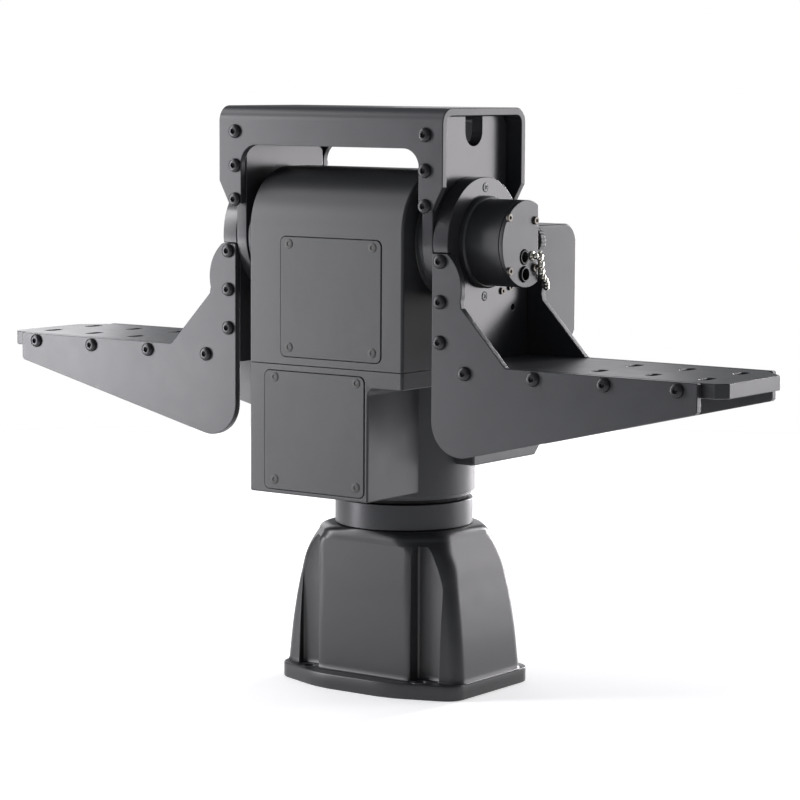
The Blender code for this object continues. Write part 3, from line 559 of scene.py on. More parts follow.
def socket_screw(prof, apothem, depth, n=24, sink=0.15):
    """Turned head (outer profile from the seat up) with a hexagon socket.
    Socket faces are marked 1, the flat round the socket 2."""
    bm = bmesh.new()
    top = prof[-1][1]
    rings = []

    def ring(fn, z):
        rings.append([bm.verts.new((fn(2 * math.pi * i / n) * math.cos(2 * math.pi * i / n),
                                    fn(2 * math.pi * i / n) * math.sin(2 * math.pi * i / n), z))
                      for i in range(n)])

    ring(lambda a, r=prof[0][0]: r, prof[0][1] - sink)
    for r, z in prof:
        ring(lambda a, r=r: r, z)
    body = len(rings) - 1
    ring(lambda a: hexr(apothem + 0.22, a), top + 0.01)
    ring(lambda a: hexr(apothem, a), top - 0.2)
    ring(lambda a: hexr(apothem, a), top - depth)
    ring(lambda a: 0.35, top - depth - 0.35 * apothem)
    for k, (p, q) in enumerate(zip(rings, rings[1:])):
        for i in range(n):
            j = (i + 1) % n
            f = bm.faces.new((p[i], p[j], q[j], q[i]))
            f.material_index = 1 if k >= body + 1 else (2 if k == body else 0)
    bm.faces.new(rings[0])
    f = bm.faces.new(rings[-1])
    f.material_index = 1
    bmesh.ops.recalc_face_normals(bm, faces=bm.faces)
    return bm


def button_screw(r=4.6, h=2.55, apothem=1.6):
    """Round-topped screw head."""
    rt = 2.35
    prof = [(r - 0.12, 0.0), (r, 0.12), (r, 0.42)]
    for k in range(1, 8):
        t = math.pi / 2 * k / 7
        prof.append((rt + (r - rt) * math.cos(t) ** 0.9, 0.42 + (h - 0.42) * math.sin(t)))
    return socket_screw(prof, apothem, 1.55)


def flat_screw(r=3.3, h=0.45, apothem=1.25):
    """Sunk screw whose flat top stands just proud."""
    prof = [(r, 0.0), (r, h - 0.2), (r - 0.35, h)]
    return socket_screw(prof, apothem, 1.2)


def cap_screw(r=4.3, h=2.4, apothem=1.9):
    prof = [(r - 0.1, 0.0), (r, 0.1), (r, h - 0.45), (r - 0.13, h - 0.13), (r - 0.45, h)]
    return socket_screw(prof, apothem, 1.8)


# default head finishes: the 'socket' finish is painted shade in the hex recess
def screw_set(name, make, spots, body,
              # the lighter 'screw_ring' metal on the flat round a black head's socket is a painted highlight
              mats=("screw_black", "socket", "screw_ring"), nodes=()):
    """One piece with a head on every (point, normal)."""
    rnd = random.Random(name)
    parts = [place(make(), p, nrm, rnd.uniform(0, math.pi / 3)) for p, nrm in spots]
    ob = raw(merge(parts), name)
    return piece(ob, body, list(mats), nodes, sharp=42)


# -------------------------------------------------------------- base of the unit
# half length, corner |Y|, half depth, panel half width, corner radius, height
BODY_RINGS = [
    (71.5, 36.8, 45.4, 37.0, 9.0, 10.3), (68.3, 35.3, 45.4, 37.0, 9.5, 42.0),
    (63.5, 33.0, 45.4, 36.0, 11.0, 71.0), (60.0, 30.8, 45.8, 36.0, 13.0, 86.0),
    (55.5, 28.5, 46.4, 36.0, 14.0, 95.0), (52.5, 25.5, 46.8, 31.0, 16.0, 101.5)]
FACE_Y, CHAN_IN, CHAN_OUT, CHAN_FLOOR = 45.4, 37.5, 57.0, 35.6
CUT_TOP, CUT_R = 98.4, 14.0         # top edge of the recess and its corner radius
BOLT_X, BOLT_Y = 45.4, 43.6


def ring_at(z):
    """Smooth reading of the flare at height z."""
    t = np.array(BODY_RINGS)
    zs = t[:, 5]
    z = float(np.clip(z, zs[0], zs[-1]))
    i = int(np.clip(np.searchsorted(zs, z) - 1, 0, len(zs) - 2))
    slope = np.gradient(t[:, :5], zs, axis=0)
    h = zs[i + 1] - zs[i]
    u = (z - zs[i]) / h
    return ((2 * u ** 3 - 3 * u ** 2 + 1) * t[i, :5] + (u ** 3 - 2 * u ** 2 + u) * h * slope[i]
            + (3 * u ** 2 - 2 * u ** 3) * t[i + 1, :5] + (u ** 3 - u ** 2) * h * slope[i + 1])


def soft_corner(p0, p1, p2, r, n):
    """Arc of radius r touching both edges at p1; always n + 1 points."""
    e1, e2 = Vector(p1) - Vector(p0), Vector(p2) - Vector(p1)
    l1, l2 = e1.length, e2.length
    if l1 < 1e-6 or l2 < 1e-6:
        return [tuple(p1)] * (n + 1)
    e1.normalize()
    e2.normalize()
    turn = math.atan2(e1.x * e2.y - e1.y * e2.x, e1.dot(e2))
    if abs(turn) < 1e-4:
        return [tuple(p1)] * (n + 1)
    t = min(r * math.tan(abs(turn) / 2), 0.47 * l1, 0.47 * l2)
    rad = t / math.tan(abs(turn) / 2)
    sd = 1.0 if turn > 0 else -1.0
    nrm = Vector((-e1.y, e1.x)) * sd
    c = Vector(p1) - e1 * t + nrm * rad
    a0 = math.atan2(-nrm.y, -nrm.x)
    return [(c.x + rad * math.cos(a0 + turn * k / n), c.y + rad * math.sin(a0 + turn * k / n))
            for k in range(n + 1)]


def base_outline(a, b, xs, front, rear, n=4):
    """Plan of the flange, counter-clockwise from the rear right corner."""
    def quarter(sx, sy, c):
        y, r = c
        p = [(sx * a, 0.0), (sx * a, sy * y), (sx * xs, sy * b), (0.0, sy * b)]
        return soft_corner(p[0], p[1], p[2], r, n) + soft_corner(p[1], p[2], p[3], 95.0, n)
    return (quarter(1, 1, rear) + quarter(-1, 1, rear)[::-1]
            + quarter(-1, -1, front) + quarter(1, -1, front)[::-1])


def resample(pts, n):
    p = np.array(pts)
    d = np.concatenate([[0.0], np.cumsum(np.hypot(*(p[1:] - p[:-1]).T))])
    q = np.linspace(0.0, d[-1], n)
    return [(float(x), float(y)) for x, y in zip(np.interp(q, d, p[:, 0]), np.interp(q, d, p[:, 1]))]


def plain_quarter(z):
    """Plan of the casting before its panels and channels, from (a, 0) to (0, b)."""
    a, y, b, xs, r = ring_at(z)
    p = [(a, 0.0), (a, y), (xs, b), (0.0, b)]
    pts = [p[0]] + soft_corner(p[0], p[1], p[2], r, 24) + soft_corner(p[1], p[2], p[3], 14.0, 10) + [p[3]]
    pts = resample(pts, 300)
    if z > 101.5:
        t = min(1.0, (z - 101.5) / 5.5)
        k = 1.0 - math.sqrt(max(0.0, 1.0 - t * t))
        pts = [(x + (46.3 * x / math.hypot(x, y) - x) * k, y + (46.3 * y / math.hypot(x, y) - y) * k)
               for x, y in pts]
    return np.array(pts)


def quarter_section(z):
    """The same with the flat panel and the recess channel cut in; fixed point count."""
    q = plain_quarter(z)
    xr = q[::-1, 0]
    yr = q[::-1, 1]

    def face(x):
        return float(np.interp(x, xr, yr))

    xo = CHAN_OUT
    h = min(z, CUT_TOP) - (CUT_TOP - CUT_R)
    if h > 0:
        xo -= CUT_R - math.sqrt(max(0.0, CUT_R ** 2 - h * h))
    if face(xo) < CHAN_FLOOR + 0.02:
        over = q[q[:, 1] >= CHAN_FLOOR + 0.02]
        xo = float(over[0, 0]) if len(over) else CHAN_IN + 0.3
        xo = max(min(xo, CHAN_OUT), CHAN_IN + 0.3)
    yo = face(xo)
    side = [tuple(v) for v in q if v[0] > xo + 0.05]
    side = resample(side + [(xo, yo)], 64)
    fl = min(CHAN_FLOOR, yo - 0.01)
    yi = min(FACE_Y, face(CHAN_IN))
    fi = min(fl, yi - 0.01)
    c = [side[-3], (xo, yo), (xo, fl), (CHAN_IN, fi), (CHAN_IN, yi), (CHAN_IN - 4.0, min(FACE_Y, face(CHAN_IN - 4.0)))]
    out = side[:-2]
    out += soft_corner(c[0], c[1], c[2], 1.1, 4)
    out += soft_corner(c[1], c[2], c[3], 1.6, 4)
    out += soft_corner(c[2], c[3], c[4], 1.6, 4)
    out += soft_corner(c[3], c[4], c[5], 1.1, 4)
    out += [(x, min(FACE_Y, face(x))) for x in np.linspace(CHAN_IN - 2.5, 0.0, 14)]
    if z > CUT_TOP:
        out = [(x - 0.004 * i, face(x - 0.004 * i)) if x < xo + 1.4 else (x, y)
               for i, (x, y) in enumerate(out[:-1])] + [(0.0, face(0.0))]
    return out


def full_section(z, grow=0.0):
    q = quarter_section(z)
    pts = (q[:-1] + [(-x, y) for x, y in q[::-1]][:-1] + [(-x, -y) for x, y in q][:-1]
           + [(x, -y) for x, y in q[::-1]][:-1])
    if grow:
        pts = offset(pts, -grow)
    return pts, float(z)


def make_base():
    low = [(0.0, 0.8), (0.25, 0.35), (0.8, 0.0), (9.2, 0.0), (9.7, 0.13), (10.05, 0.45), (10.2, 1.0)]
    lip = base_outline(72.5, 58.8, 29.0, (42.5, 15.0), (45.5, 13.0), 14)
    holes = [circle(sx * BOLT_X, sy * BOLT_Y, 3.6, 40) for sx in (-1, 1) for sy in (-1, 1)]
    flange = bm_levels("Z", [lip] + holes, low)
    for f in flange.faces:
        f.material_index = 0
    ob = combine("base_casting_shell", flange,
                 cuts=[bm_levels("Z", [rrect(-54.3, 54.3, -34.3, 34.3, 8, 6)], [(-2.0, 0.0), (4.3, 0.0)]),
                       bm_levels("Z", [rrect(-50.0, 50.0, -28.5, 28.5, 9, 6)], [(-3.0, 0.0), (13.0, 0.0)])])
    rings = [full_section(6.0), full_section(10.1, 1.3), full_section(10.35, 0.95), full_section(10.8, 0.55),
             full_section(11.5, 0.22), full_section(12.4, 0.04)]
    rings += [full_section(z) for z in list(np.linspace(13.5, 80.0, 40)) + list(np.linspace(80.8, 98.3, 26))
              + [98.5, 99.2, 100.0, 100.8, 101.5, 102.6, 103.6, 104.5, 105.3, 106.0, 106.5, 106.85, 107.0]]
    body = bm_loft(rings)
    # the hollow and the bore for the collar leave the outer faces untouched
    hollow = bm_levels("Z", [rrect(-50.0, 50.0, -28.5, 28.5, 9, 6)],
                       [(2.0, 0.0), (20.0, 0.4), (60.0, 3.5), (99.0, 7.5)])
    bore = bm_spin("Z", 0, 0, [(24.4, 96.0), (24.4, 112.0)], 64)
    solid = combine("base_casting_body", body, cuts=[hollow, bore])
    both = bmesh.new()
    both.from_mesh(ob.data)
    both.from_mesh(solid.data)
    both.to_mesh(ob.data)
    both.free()
    bpy.data.objects.remove(solid, do_unlink=True)
    piece(ob, "base", ["base_cast"], ["base_casting"], sharp=33, weighted=False)
    seats = []
    for sx in (-1, 1):
        for sy in (-1, 1):
            seats.append(ring_solid("Z", sx * BOLT_X, sy * BOLT_Y,
                                    [(3.7, 10.0), (6.6, 10.0), (6.6, 10.42), (3.7, 10.42)], 0.12, 48, 2))
    ob = raw(merge(seats), "base_bolt_seats")
    piece(ob, "base", ["seat"], sharp=40)

    ob = raw(bm_plate("Z", rrect(-54, 54, -34, 34, 7.7, 8), 0.0, 4.0, bev=0.6,
                      holes=[circle(0, 0, 4.0, 24)]), "base_plate_shell")
    piece(ob, "base", ["black_plate"], ["base_plate"])
    bolts = []
    for x in (-47.5, 0.0, 47.5):
        for y in (-27.5, 27.5):
            bolts.append(place(flat_screw(3.2, 0.4), (x, y, 0.45), (0, 0, -1)))
    ob = raw(merge(bolts), "base_plate_screws")
    piece(ob, "base", ["screw_black", "socket", "screw_black"], sharp=42)

    # electrical inlet
    r = 45.8
    prof = [(13.9, 24.0), (13.9, r), (18.5, r), (18.5, r + 2.6), (13.0, r + 2.6),
            (13.0, r + 9.0), (11.0, r + 9.0), (11.0, r + 2.0), (1.2, r + 2.0), (1.2, 24.0)]
    shell = [ring_solid("Y", 0, 45.0, prof, 0.35, 64)]
    for k in range(3):
        w = r + 4.4 + 1.5 * k
        shell.append(ring_solid("Y", 0, 45.0, [(12.8, w), (13.5, w + 0.35), (12.8, w + 0.7)],
                                0.08, 64, 2))
    ob = raw(merge(shell), "base_connector_shell")
    piece(ob, "base", ["nickel"], ["base_connector"])
    pins = []
    for k in range(7):
        a = 2 * math.pi * k / 6
        x, z = (0.0, 45.0) if k == 6 else (6.2 * math.cos(a), 45.0 + 6.2 * math.sin(a))
        pins.append(bm_spin("Y", x, z, [(0.75, r + 1.9), (0.75, r + 6.3), (0.45, r + 7.0)], 16))
    ob = raw(merge(pins), "base_connector_pins")
    piece(ob, "base", ["gold"])
    spots = []
    for k in range(4):
        a = math.radians(45 + 90 * k)
        spots.append(((15.75 * math.cos(a), r + 2.6, 45.0 + 15.75 * math.sin(a)), (0, 1, 0)))
    screw_set("base_connector_screws", lambda: cap_screw(1.9, 1.2, 0.8), spots, "base")

    prof = [(14.3, 107.3), (24.0, 102.3), (24.0, 107.3), (46.0, 107.3), (46.0, 124.3),
            (28.0, 124.3), (28.0, 120.3), (14.3, 120.3)]
    ob = raw(ring_solid("Z", 0, 0, prof, 0.5, 160), "neck_ring_shell")
    piece(ob, "base", ["anodised"], ["neck_ring"])


# ------------------------------------------------------------------ the head
def drum(inset, floor, n):
    r = 38.7 - inset
    c0, c1, cz = FRONT + 38.7, 9.9 - 38.7, 305.3
    pts = [(FRONT + inset, floor)]
    pts += arc(c0, cz, r, 180, 90, n)
    pts += arc(c1, cz, r, 90, 12, n)
    zt = 304.2 - inset
    fil = 5.0
    # hollow fillet between the drum's back and the housing's top
    pts += [(c1 + r + fil * (1 - math.cos(t)) - 0.4, zt + fil * (1 - math.sin(t)))
            for t in (math.radians(20), math.radians(40), math.radians(60), math.radians(80))] \
        if not inset else [(c1 + r, zt)]
    k = 13.0 - inset * 0.5
    pts += arc(114.6 - inset - k, zt - k, k, 90, 0, max(6, n // 2))
    if inset:
        pts += [(114.6 - inset, floor)]
    else:
        pts += [(114.6, 231.0), (111.2, 226.6), (111.2, floor)]
    return pts


def seat_cut(c, face):
    """Recess for a cover, its mouth slightly rounded."""
    x0, x1, z0, z1 = c
    lv = [(face - 5.0, -0.37), (face - 0.001, -0.37), (face + 0.12, -0.15), (face + 0.4, 0.0),
          (face + 3.5, 0.0)]
    return bm_levels("Y", [rrect(x0 - 0.3, x1 + 0.3, z0 - 0.3, z1 + 0.3, 4.25, 8)], lv)


def make_cover(name, c, node):
    x0, x1, z0, z1 = c
    ob = raw(bm_plate("Y", rrect(x0, x1, z0, z1, 4.0, 8), FRONT - 0.55, FRONT + 2.1, bev=0.4,
                      bev_hi=0.2, seg=3), name)
    # walls and rims take the lighter painted-highlight finish
    piece(ob, "head", ["cover", "cover_rim_painted_highlight", "cover_rim_painted_highlight"], [node])


UPPER = (-35.5, 44.7, 222.5, 300.0)
LOWER = (-48.6, 31.8, 135.2, 212.8)


def make_head():
    # upper casting
    bm = bm_plate("X", drum(0.0, 205.0, 24), -61.4, 61.4, bev=1.7, seg=5)
    geom = bm.verts[:] + bm.edges[:] + bm.faces[:]
    res = bmesh.ops.bisect_plane(bm, geom=geom, dist=1e-5, plane_co=(0, 0, SEAM + 0.3),
                                 plane_no=(0, 0, -1), clear_outer=True)
    rim = [g for g in res["geom_cut"] if isinstance(g, bmesh.types.BMEdge)]
    cap = bmesh.ops.contextual_create(bm, geom=rim)["faces"]
    bmesh.ops.recalc_face_normals(bm, faces=bm.faces)
    bmesh.ops.bevel(bm, geom=list(cap[0].edges), offset=0.45, segments=2, profile=0.5,
                    affect="EDGES", clamp_overlap=False)
    for f in bm.faces:
        f.material_index = 0
    boss = bar_solid("X", TY, TZ, [(36.0, -65.8), (36.0, -61.9), (37.3, -61.2), (37.3, 61.2),
                                   (36.0, 61.9), (36.0, 65.8)], 0.6, 112)
    inner = bm_levels("X", [drum(6.5, SEAM - 6.0, 8)], [(-56.4, 0.0), (56.4, 0.0)])
    bore = bm_spin("X", TY, TZ, [(26.5, -80.0), (26.5, 80.0)], 64)
    port = bm_levels("Y", [rrect(UPPER[0] + 12, UPPER[1] - 12, UPPER[2] + 12, UPPER[3] - 12, 5, 4)],
                     [(FRONT - 5, 0.0), (FRONT + 16, 0.0)])
    ob = combine("upper_casting_shell", bm, adds=[boss], cuts=[inner, bore, seat_cut(UPPER, FRONT), port])
    piece(ob, "head", ["casting"], ["upper_casting"], sharp=35)

    # lower casting
    flange = bm_plate("Z", rrect(-61.4, 61.4, FRONT + 0.03, 111.2, 1.7, 6), 206.0, SEAM, seg=4,
                      bev_lo=0.9, bev_hi=0.45)
    front_box = bm_plate("Z", rrect(-61.0, 34.6, FRONT, 20.0, 1.3, 5), 132.3, 211.3, seg=4,
                         bev_lo=1.1, bev_hi=0.0)
    rear_box = bm_plate("X", round_poly([(-7.0, 149.8), (66.3, 149.8), (75.3, 158.8), (75.3, 212.1),
                                         (-7.0, 212.1)], 1.6, 4, min_turn=30), -60.96, 60.96, seg=4, bev=1.3)
    fil = 5.0
    pts = [(30.0, 208.0), (34.6 + fil, 208.0), (34.6 + fil, 206.0)]
    pts += arc(34.6 + fil, 206.0 - fil, fil, 90, 180, 8)[1:] + [(30.0, 206.0 - fil)]
    fillet = bm_plate("Y", pts, FRONT + 0.06, 14.0, bev_lo=1.0, bev_hi=0.0, seg=4)
    cyl = bar_solid("Z", 0, 0, [(45.0, 127.2), (45.0, 129.7), (47.3, 129.7), (47.3, 209.0)], 0.5, 160)
    for b in (flange, front_box, rear_box, fillet, cyl):
        for f in b.faces:
            f.material_index = 0
    cuts = [
        bm_levels("Z", [rrect(-55.2, 29.6, FRONT + 7.5, 12.0, 3.0, 4)], [(137.4, 0.0), (222.0, 0.0)]),
        bm_levels("X", [[(-1.0, 154.8), (64.3, 154.8), (70.3, 160.8), (70.3, 223.0), (-1.0, 223.0)]],
                  [(-55.0, 0.0), (55.0, 0.0)]),
        bm_spin("Z", 0, 0, [(27.0, 134.2), (42.0, 134.2), (42.0, 153.5), (27.0, 153.5)], 64, True),
        bm_spin("Z", 0, 0, [(42.0, 152.0), (42.0, 206.5)], 64),
        bm_spin("Z", 0, 0, [(22.4, 118.0), (22.4, 162.0)], 48),
        seat_cut(LOWER, FRONT),
        bm_levels("Y", [rrect(LOWER[0] + 12, LOWER[1] - 12, LOWER[2] + 12, LOWER[3] - 12, 5, 4)],
                  [(FRONT - 5, 0.0), (FRONT + 16, 0.0)]),
    ]
    ob = combine("lower_casting_shell", flange, adds=[front_box, rear_box, fillet, cyl], cuts=cuts)
    piece(ob, "head", ["casting"], ["lower_casting"], sharp=35)

    make_cover("upper_cover_panel", UPPER, "upper_cover")
    make_cover("lower_cover_panel", LOWER, "lower_cover")
    f = FRONT - 0.55
    screw_set("upper_cover_screws", lambda: flat_screw(3.2, 0.4, 1.15),
              [((x, f + 0.02, z), (0, -1, 0)) for x in (-28.7, 38.0) for z in (228.7, 295.5)],
              "head", mats=("cover_screw", "socket", "screw_black"))
    screw_set("lower_cover_screws", lambda: flat_screw(3.2, 0.4, 1.15),
              [((x, f + 0.02, z), (0, -1, 0)) for x in (-40.3, 25.6) for z in (141.7, 208.7)],
              "head", mats=("cover_screw", "socket", "screw_black"))


# ------------------------------------------------------------------ the yoke
def bent_channel():
    """Top bracket: cut flat, then bent down at both sides."""
    t = 4.76
    zt, zb, yf, yr = 383.5, 319.8, -85.4, 7.8
    ro = 10.0
    rm = ro - t / 2
    leg = zt - ro - zb
    bend = math.pi / 2 * rm
    flat = (yr - ro) - (yf + ro)
    total = 2 * leg + 2 * bend + flat
    wt = 358.2 - zb
    wr = 12.0

    pts = [(-81.2, 0.0), (-70.8, 0.0)]
    pts += arc(-70.8 + wr, wt - wr, wr, 180, 90, 12) + arc(70.8 - wr, wt - wr, wr, 90, 0, 12)
    pts += [(70.8, 0.0), (81.2, 0.0), (89.2, 14.8), (89.2, total - 14.8), (81.2, total), (70.8, total)]
    pts += arc(70.8 - wr, total - wt + wr, wr, 0, -90, 12) + arc(-70.8 + wr, total - wt + wr, wr, -90, -180, 12)
    pts += [(-70.8, total), (-81.2, total), (-89.2, total - 14.8), (-89.2, 14.8)]
    pts = round_poly(pts, 1.2, 3, min_turn=25.0)
    bm = bm_plate("Z", pts, -t / 2, t / 2, bev=0.55, seg=3)
    # cut lines across the bends
    s0, s1 = leg, leg + bend
    s2, s3 = leg + bend + flat, leg + 2 * bend + flat
    for a, b in ((s0, s1), (s2, s3)):
        for i in range(13):
            s = a + (b - a) * i / 12
            bmesh.ops.bisect_plane(bm, geom=bm.verts[:] + bm.edges[:] + bm.faces[:], dist=1e-5,
                                   plane_co=(0, s, 0), plane_no=(0, 1, 0))
    for v in bm.verts:
        x, s, d = v.co
        if s <= s0:
            y, z = yf + t / 2 - d, zb + s
        elif s <= s1:
            a = math.pi - (s - s0) / rm
            r = rm + d
            y, z = yf + ro + r * math.cos(a), zt - ro + r * math.sin(a)
        elif s <= s2:
            y, z = yf + ro + (s - s1), zt - t / 2 + d
        elif s <= s3:
            a = math.pi / 2 - (s - s2) / rm
            r = rm + d
            y, z = yr - ro + r * math.cos(a), zt - ro + r * math.sin(a)
        else:
            y, z = yr - t / 2 + d, zt - ro - (s - s3)
        v.co = (x, y, z)
    bmesh.ops.recalc_face_normals(bm, faces=bm.faces)
    return bm


def side_outline():
    m = (205.6 - 167.1) / (269.6 - 108.7)
    fi = math.degrees(math.atan(m))
    r, xi = 22.0, 78.8
    cx = xi + r
    cz = 167.1 + m * (cx - 108.7) + r * math.hypot(1.0, m)
    pts = arc(cx, cz, r, 180, 270 + fi, 20)
    pts += [(268.8, 205.6 - m * 0.8), (270.2, 206.9), (270.2, 224.2), (134.6, 224.2), (101.2, 259.6)]
    low = math.degrees(math.asin((264.0 - 271.0) / 28.2))
    top = math.degrees(math.asin((293.2 - 271.0) / 28.2))
    pts += arc(73.0, 271.0, 28.2, low, top, 16)
    pts += [(xi, 293.2)]
    return round_poly(pts, 0.9, 3, min_turn=24.0, special=[((134.6, 224.2), 2.0)])


def end_outline():
    zs = 293.5
    h = math.degrees(math.asin((TZ - zs) / 41.1))
    y0, y1 = FP + 4.76 + 0.3, RP - 4.76 - 0.3
    pts = [(y0, 215.0), (y0, zs)] + arc(TY, TZ, 41.1, 180 + h, -h, 60) + [(y1, zs), (y1, 215.0)]
    return pts


def top_end_outline():
    zt, k, r, ny = 378.44, 9.2, 41.1, -35.6
    pts = arc(TY, TZ, r, 180, 360, 56)
    pts += [(TY + r, zt - 5.0), (TY + r - 5.0, zt), (ny + k, zt)]
    pts += arc(ny, 359.4 + k, k, 0, -180, 24)
    pts += [(ny - k, zt), (TY - r + 5.0, zt), (TY - r, zt - 5.0)]
    return pts


def d_outline(r, flat, corner=5.0, n=40):
    half = math.degrees(math.acos((flat - TY) / r))
    pts = arc(TY, TZ, r, half, 360 - half, n)
    return round_poly(pts, corner, 6, min_turn=15.0)


def mirrored(pts):
    return [(-u, v) for u, v in reversed(pts)]


def make_yoke():
    # cut walls and rounded rims take the lighter painted-highlight finishes
    plate = ["plate", "plate_edge", "plate_rim"]
    ob = raw(bent_channel(), "top_channel_plate")
    piece(ob, "yoke", plate, ["top_channel"], sharp=40)
    spots = []
    for s in (-1, 1):
        for z in (366.9, 344.7, 322.6):
            spots += [((s * 75.8, -85.4, z), (0, -1, 0)), ((s * 75.8, 7.8, z), (0, 1, 0))]
    screw_set("top_channel_screws", button_screw, spots, "yoke")

    for side, s in (("left", -1), ("right", 1)):
        def span(a, b, s=s):
            return tuple(sorted((s * a, s * b)))

        a, b = span(66.5, 70.1)
        ob = raw(ring_solid("X", TY, TZ, [(13.0, a), (40.0, a), (40.0, b), (13.0, b)], 0.5, 128),
                 "hub_%s_disc" % side)
        piece(ob, "yoke", ["anodised"], ["hub_" + side])
        bolts = [circle(TY, TZ + q * 34.5, 2.7, 24) for q in (-1, 1)]
        a, b = span(70.4, 78.5)
        ob = raw(bm_plate("X", round_poly(top_end_outline(), 0.8, 3, min_turn=25), a, b,
                          holes=[circle(TY, TZ, 13.0, 48)] + bolts, bev=0.5),
                 "channel_end_%s_plate" % side)
        piece(ob, "yoke", ["gloss", "plate_edge", "plate_rim"], ["channel_end_" + side])
        a, b = span(78.8, 90.0)
        ob = raw(bm_plate("X", round_poly(end_outline(), 0.8, 3, min_turn=25), a, b,
                          holes=[circle(TY, TZ, 13.0, 48), circle(-6.2, 255.6, 1.9, 20)] + bolts,
                          bev=0.5), "bracket_end_%s_plate" % side)
        piece(ob, "yoke", ["gloss", "plate_edge", "plate_rim"], ["bracket_end_" + side])
        for tag, q in (("top", 1), ("bottom", -1)):
            node = "hub_bolt_%s_%s" % (side, tag)
            screw_set(node + "_head", lambda: flat_screw(2.8, 0.35, 1.0),
                      [((s * 89.85, TY, TZ + q * 34.5), (s, 0, 0))], "yoke",
                      mats=("gloss", "socket", "gloss"), nodes=[node])

        prof = side_outline()
        if s < 0:
            prof = mirrored(prof)
        for tag, y0 in (("front", FP), ("rear", RP - 4.76)):
            ob = raw(bm_plate("Y", prof, y0, y0 + 4.76, bev=0.55), "%s_plate_%s_panel" % (tag, side))
            piece(ob, "yoke", plate, ["%s_plate_%s" % (tag, side)])
            y, n = (FP, (0, -1, 0)) if tag == "front" else (RP, (0, 1, 0))
            spots = [((s * 85.0, y, z), n) for z in (288.4, 263.0, 237.6)]
            spots += [((s * x, y, 219.2), n) for x in (104.05, 154.85, 205.65, 256.45)]
            screw_set("%s_plate_%s_screws" % (tag, side), button_screw, spots, "yoke")

        y0, y1 = FP + 4.76 + 0.3, RP - 4.76 - 0.3
        sh = [(90.3, y0), (285.6 - 6.4, y0), (285.6, y0 + 6.4), (285.6, y1 - 18.5),
              (285.6 - 18.5, y1), (90.3, y1)]
        if s < 0:
            sh = mirrored(sh)
        slots = []
        for x in ((185.2, 223.3, 261.4) if s > 0 else (189.4, 227.5, 265.6)):
            for y in (-53.5, -11.7):
                h = 7.5 - 3.3
                slots.append(arc(s * x, y + h, 3.3, 0, 180, 12) + arc(s * x, y - h, 3.3, 180, 360, 12))
        ob = raw(bm_plate("Z", round_poly(sh, 0.8, 3), 215.0, 224.2, holes=slots, bev=0.6),
                 "shelf_%s_plate" % side)
        piece(ob, "yoke", ["plate", "plate", "plate_rim"], ["shelf_" + side])

    # plain cap on the left hub
    ob = raw(bar_solid("X", TY, TZ, [(24.0, -90.3), (24.0, -93.0), (22.8, -94.2), (2.0, -94.2)],
                       0.4, 96), "blanking_cap_disc")
    piece(ob, "yoke", ["anodised"], ["blanking_cap"])
    spots = []
    for k in range(3):
        a = math.radians(90 + 120 * k)
        spots.append(((-94.15, TY + 17.5 * math.cos(a), TZ + 17.5 * math.sin(a)), (-1, 0, 0)))
    screw_set("blanking_cap_screws", lambda: flat_screw(2.6, 0.4, 1.0), spots, "yoke",
              mats=("screw_ring", "socket", "screw_black"))


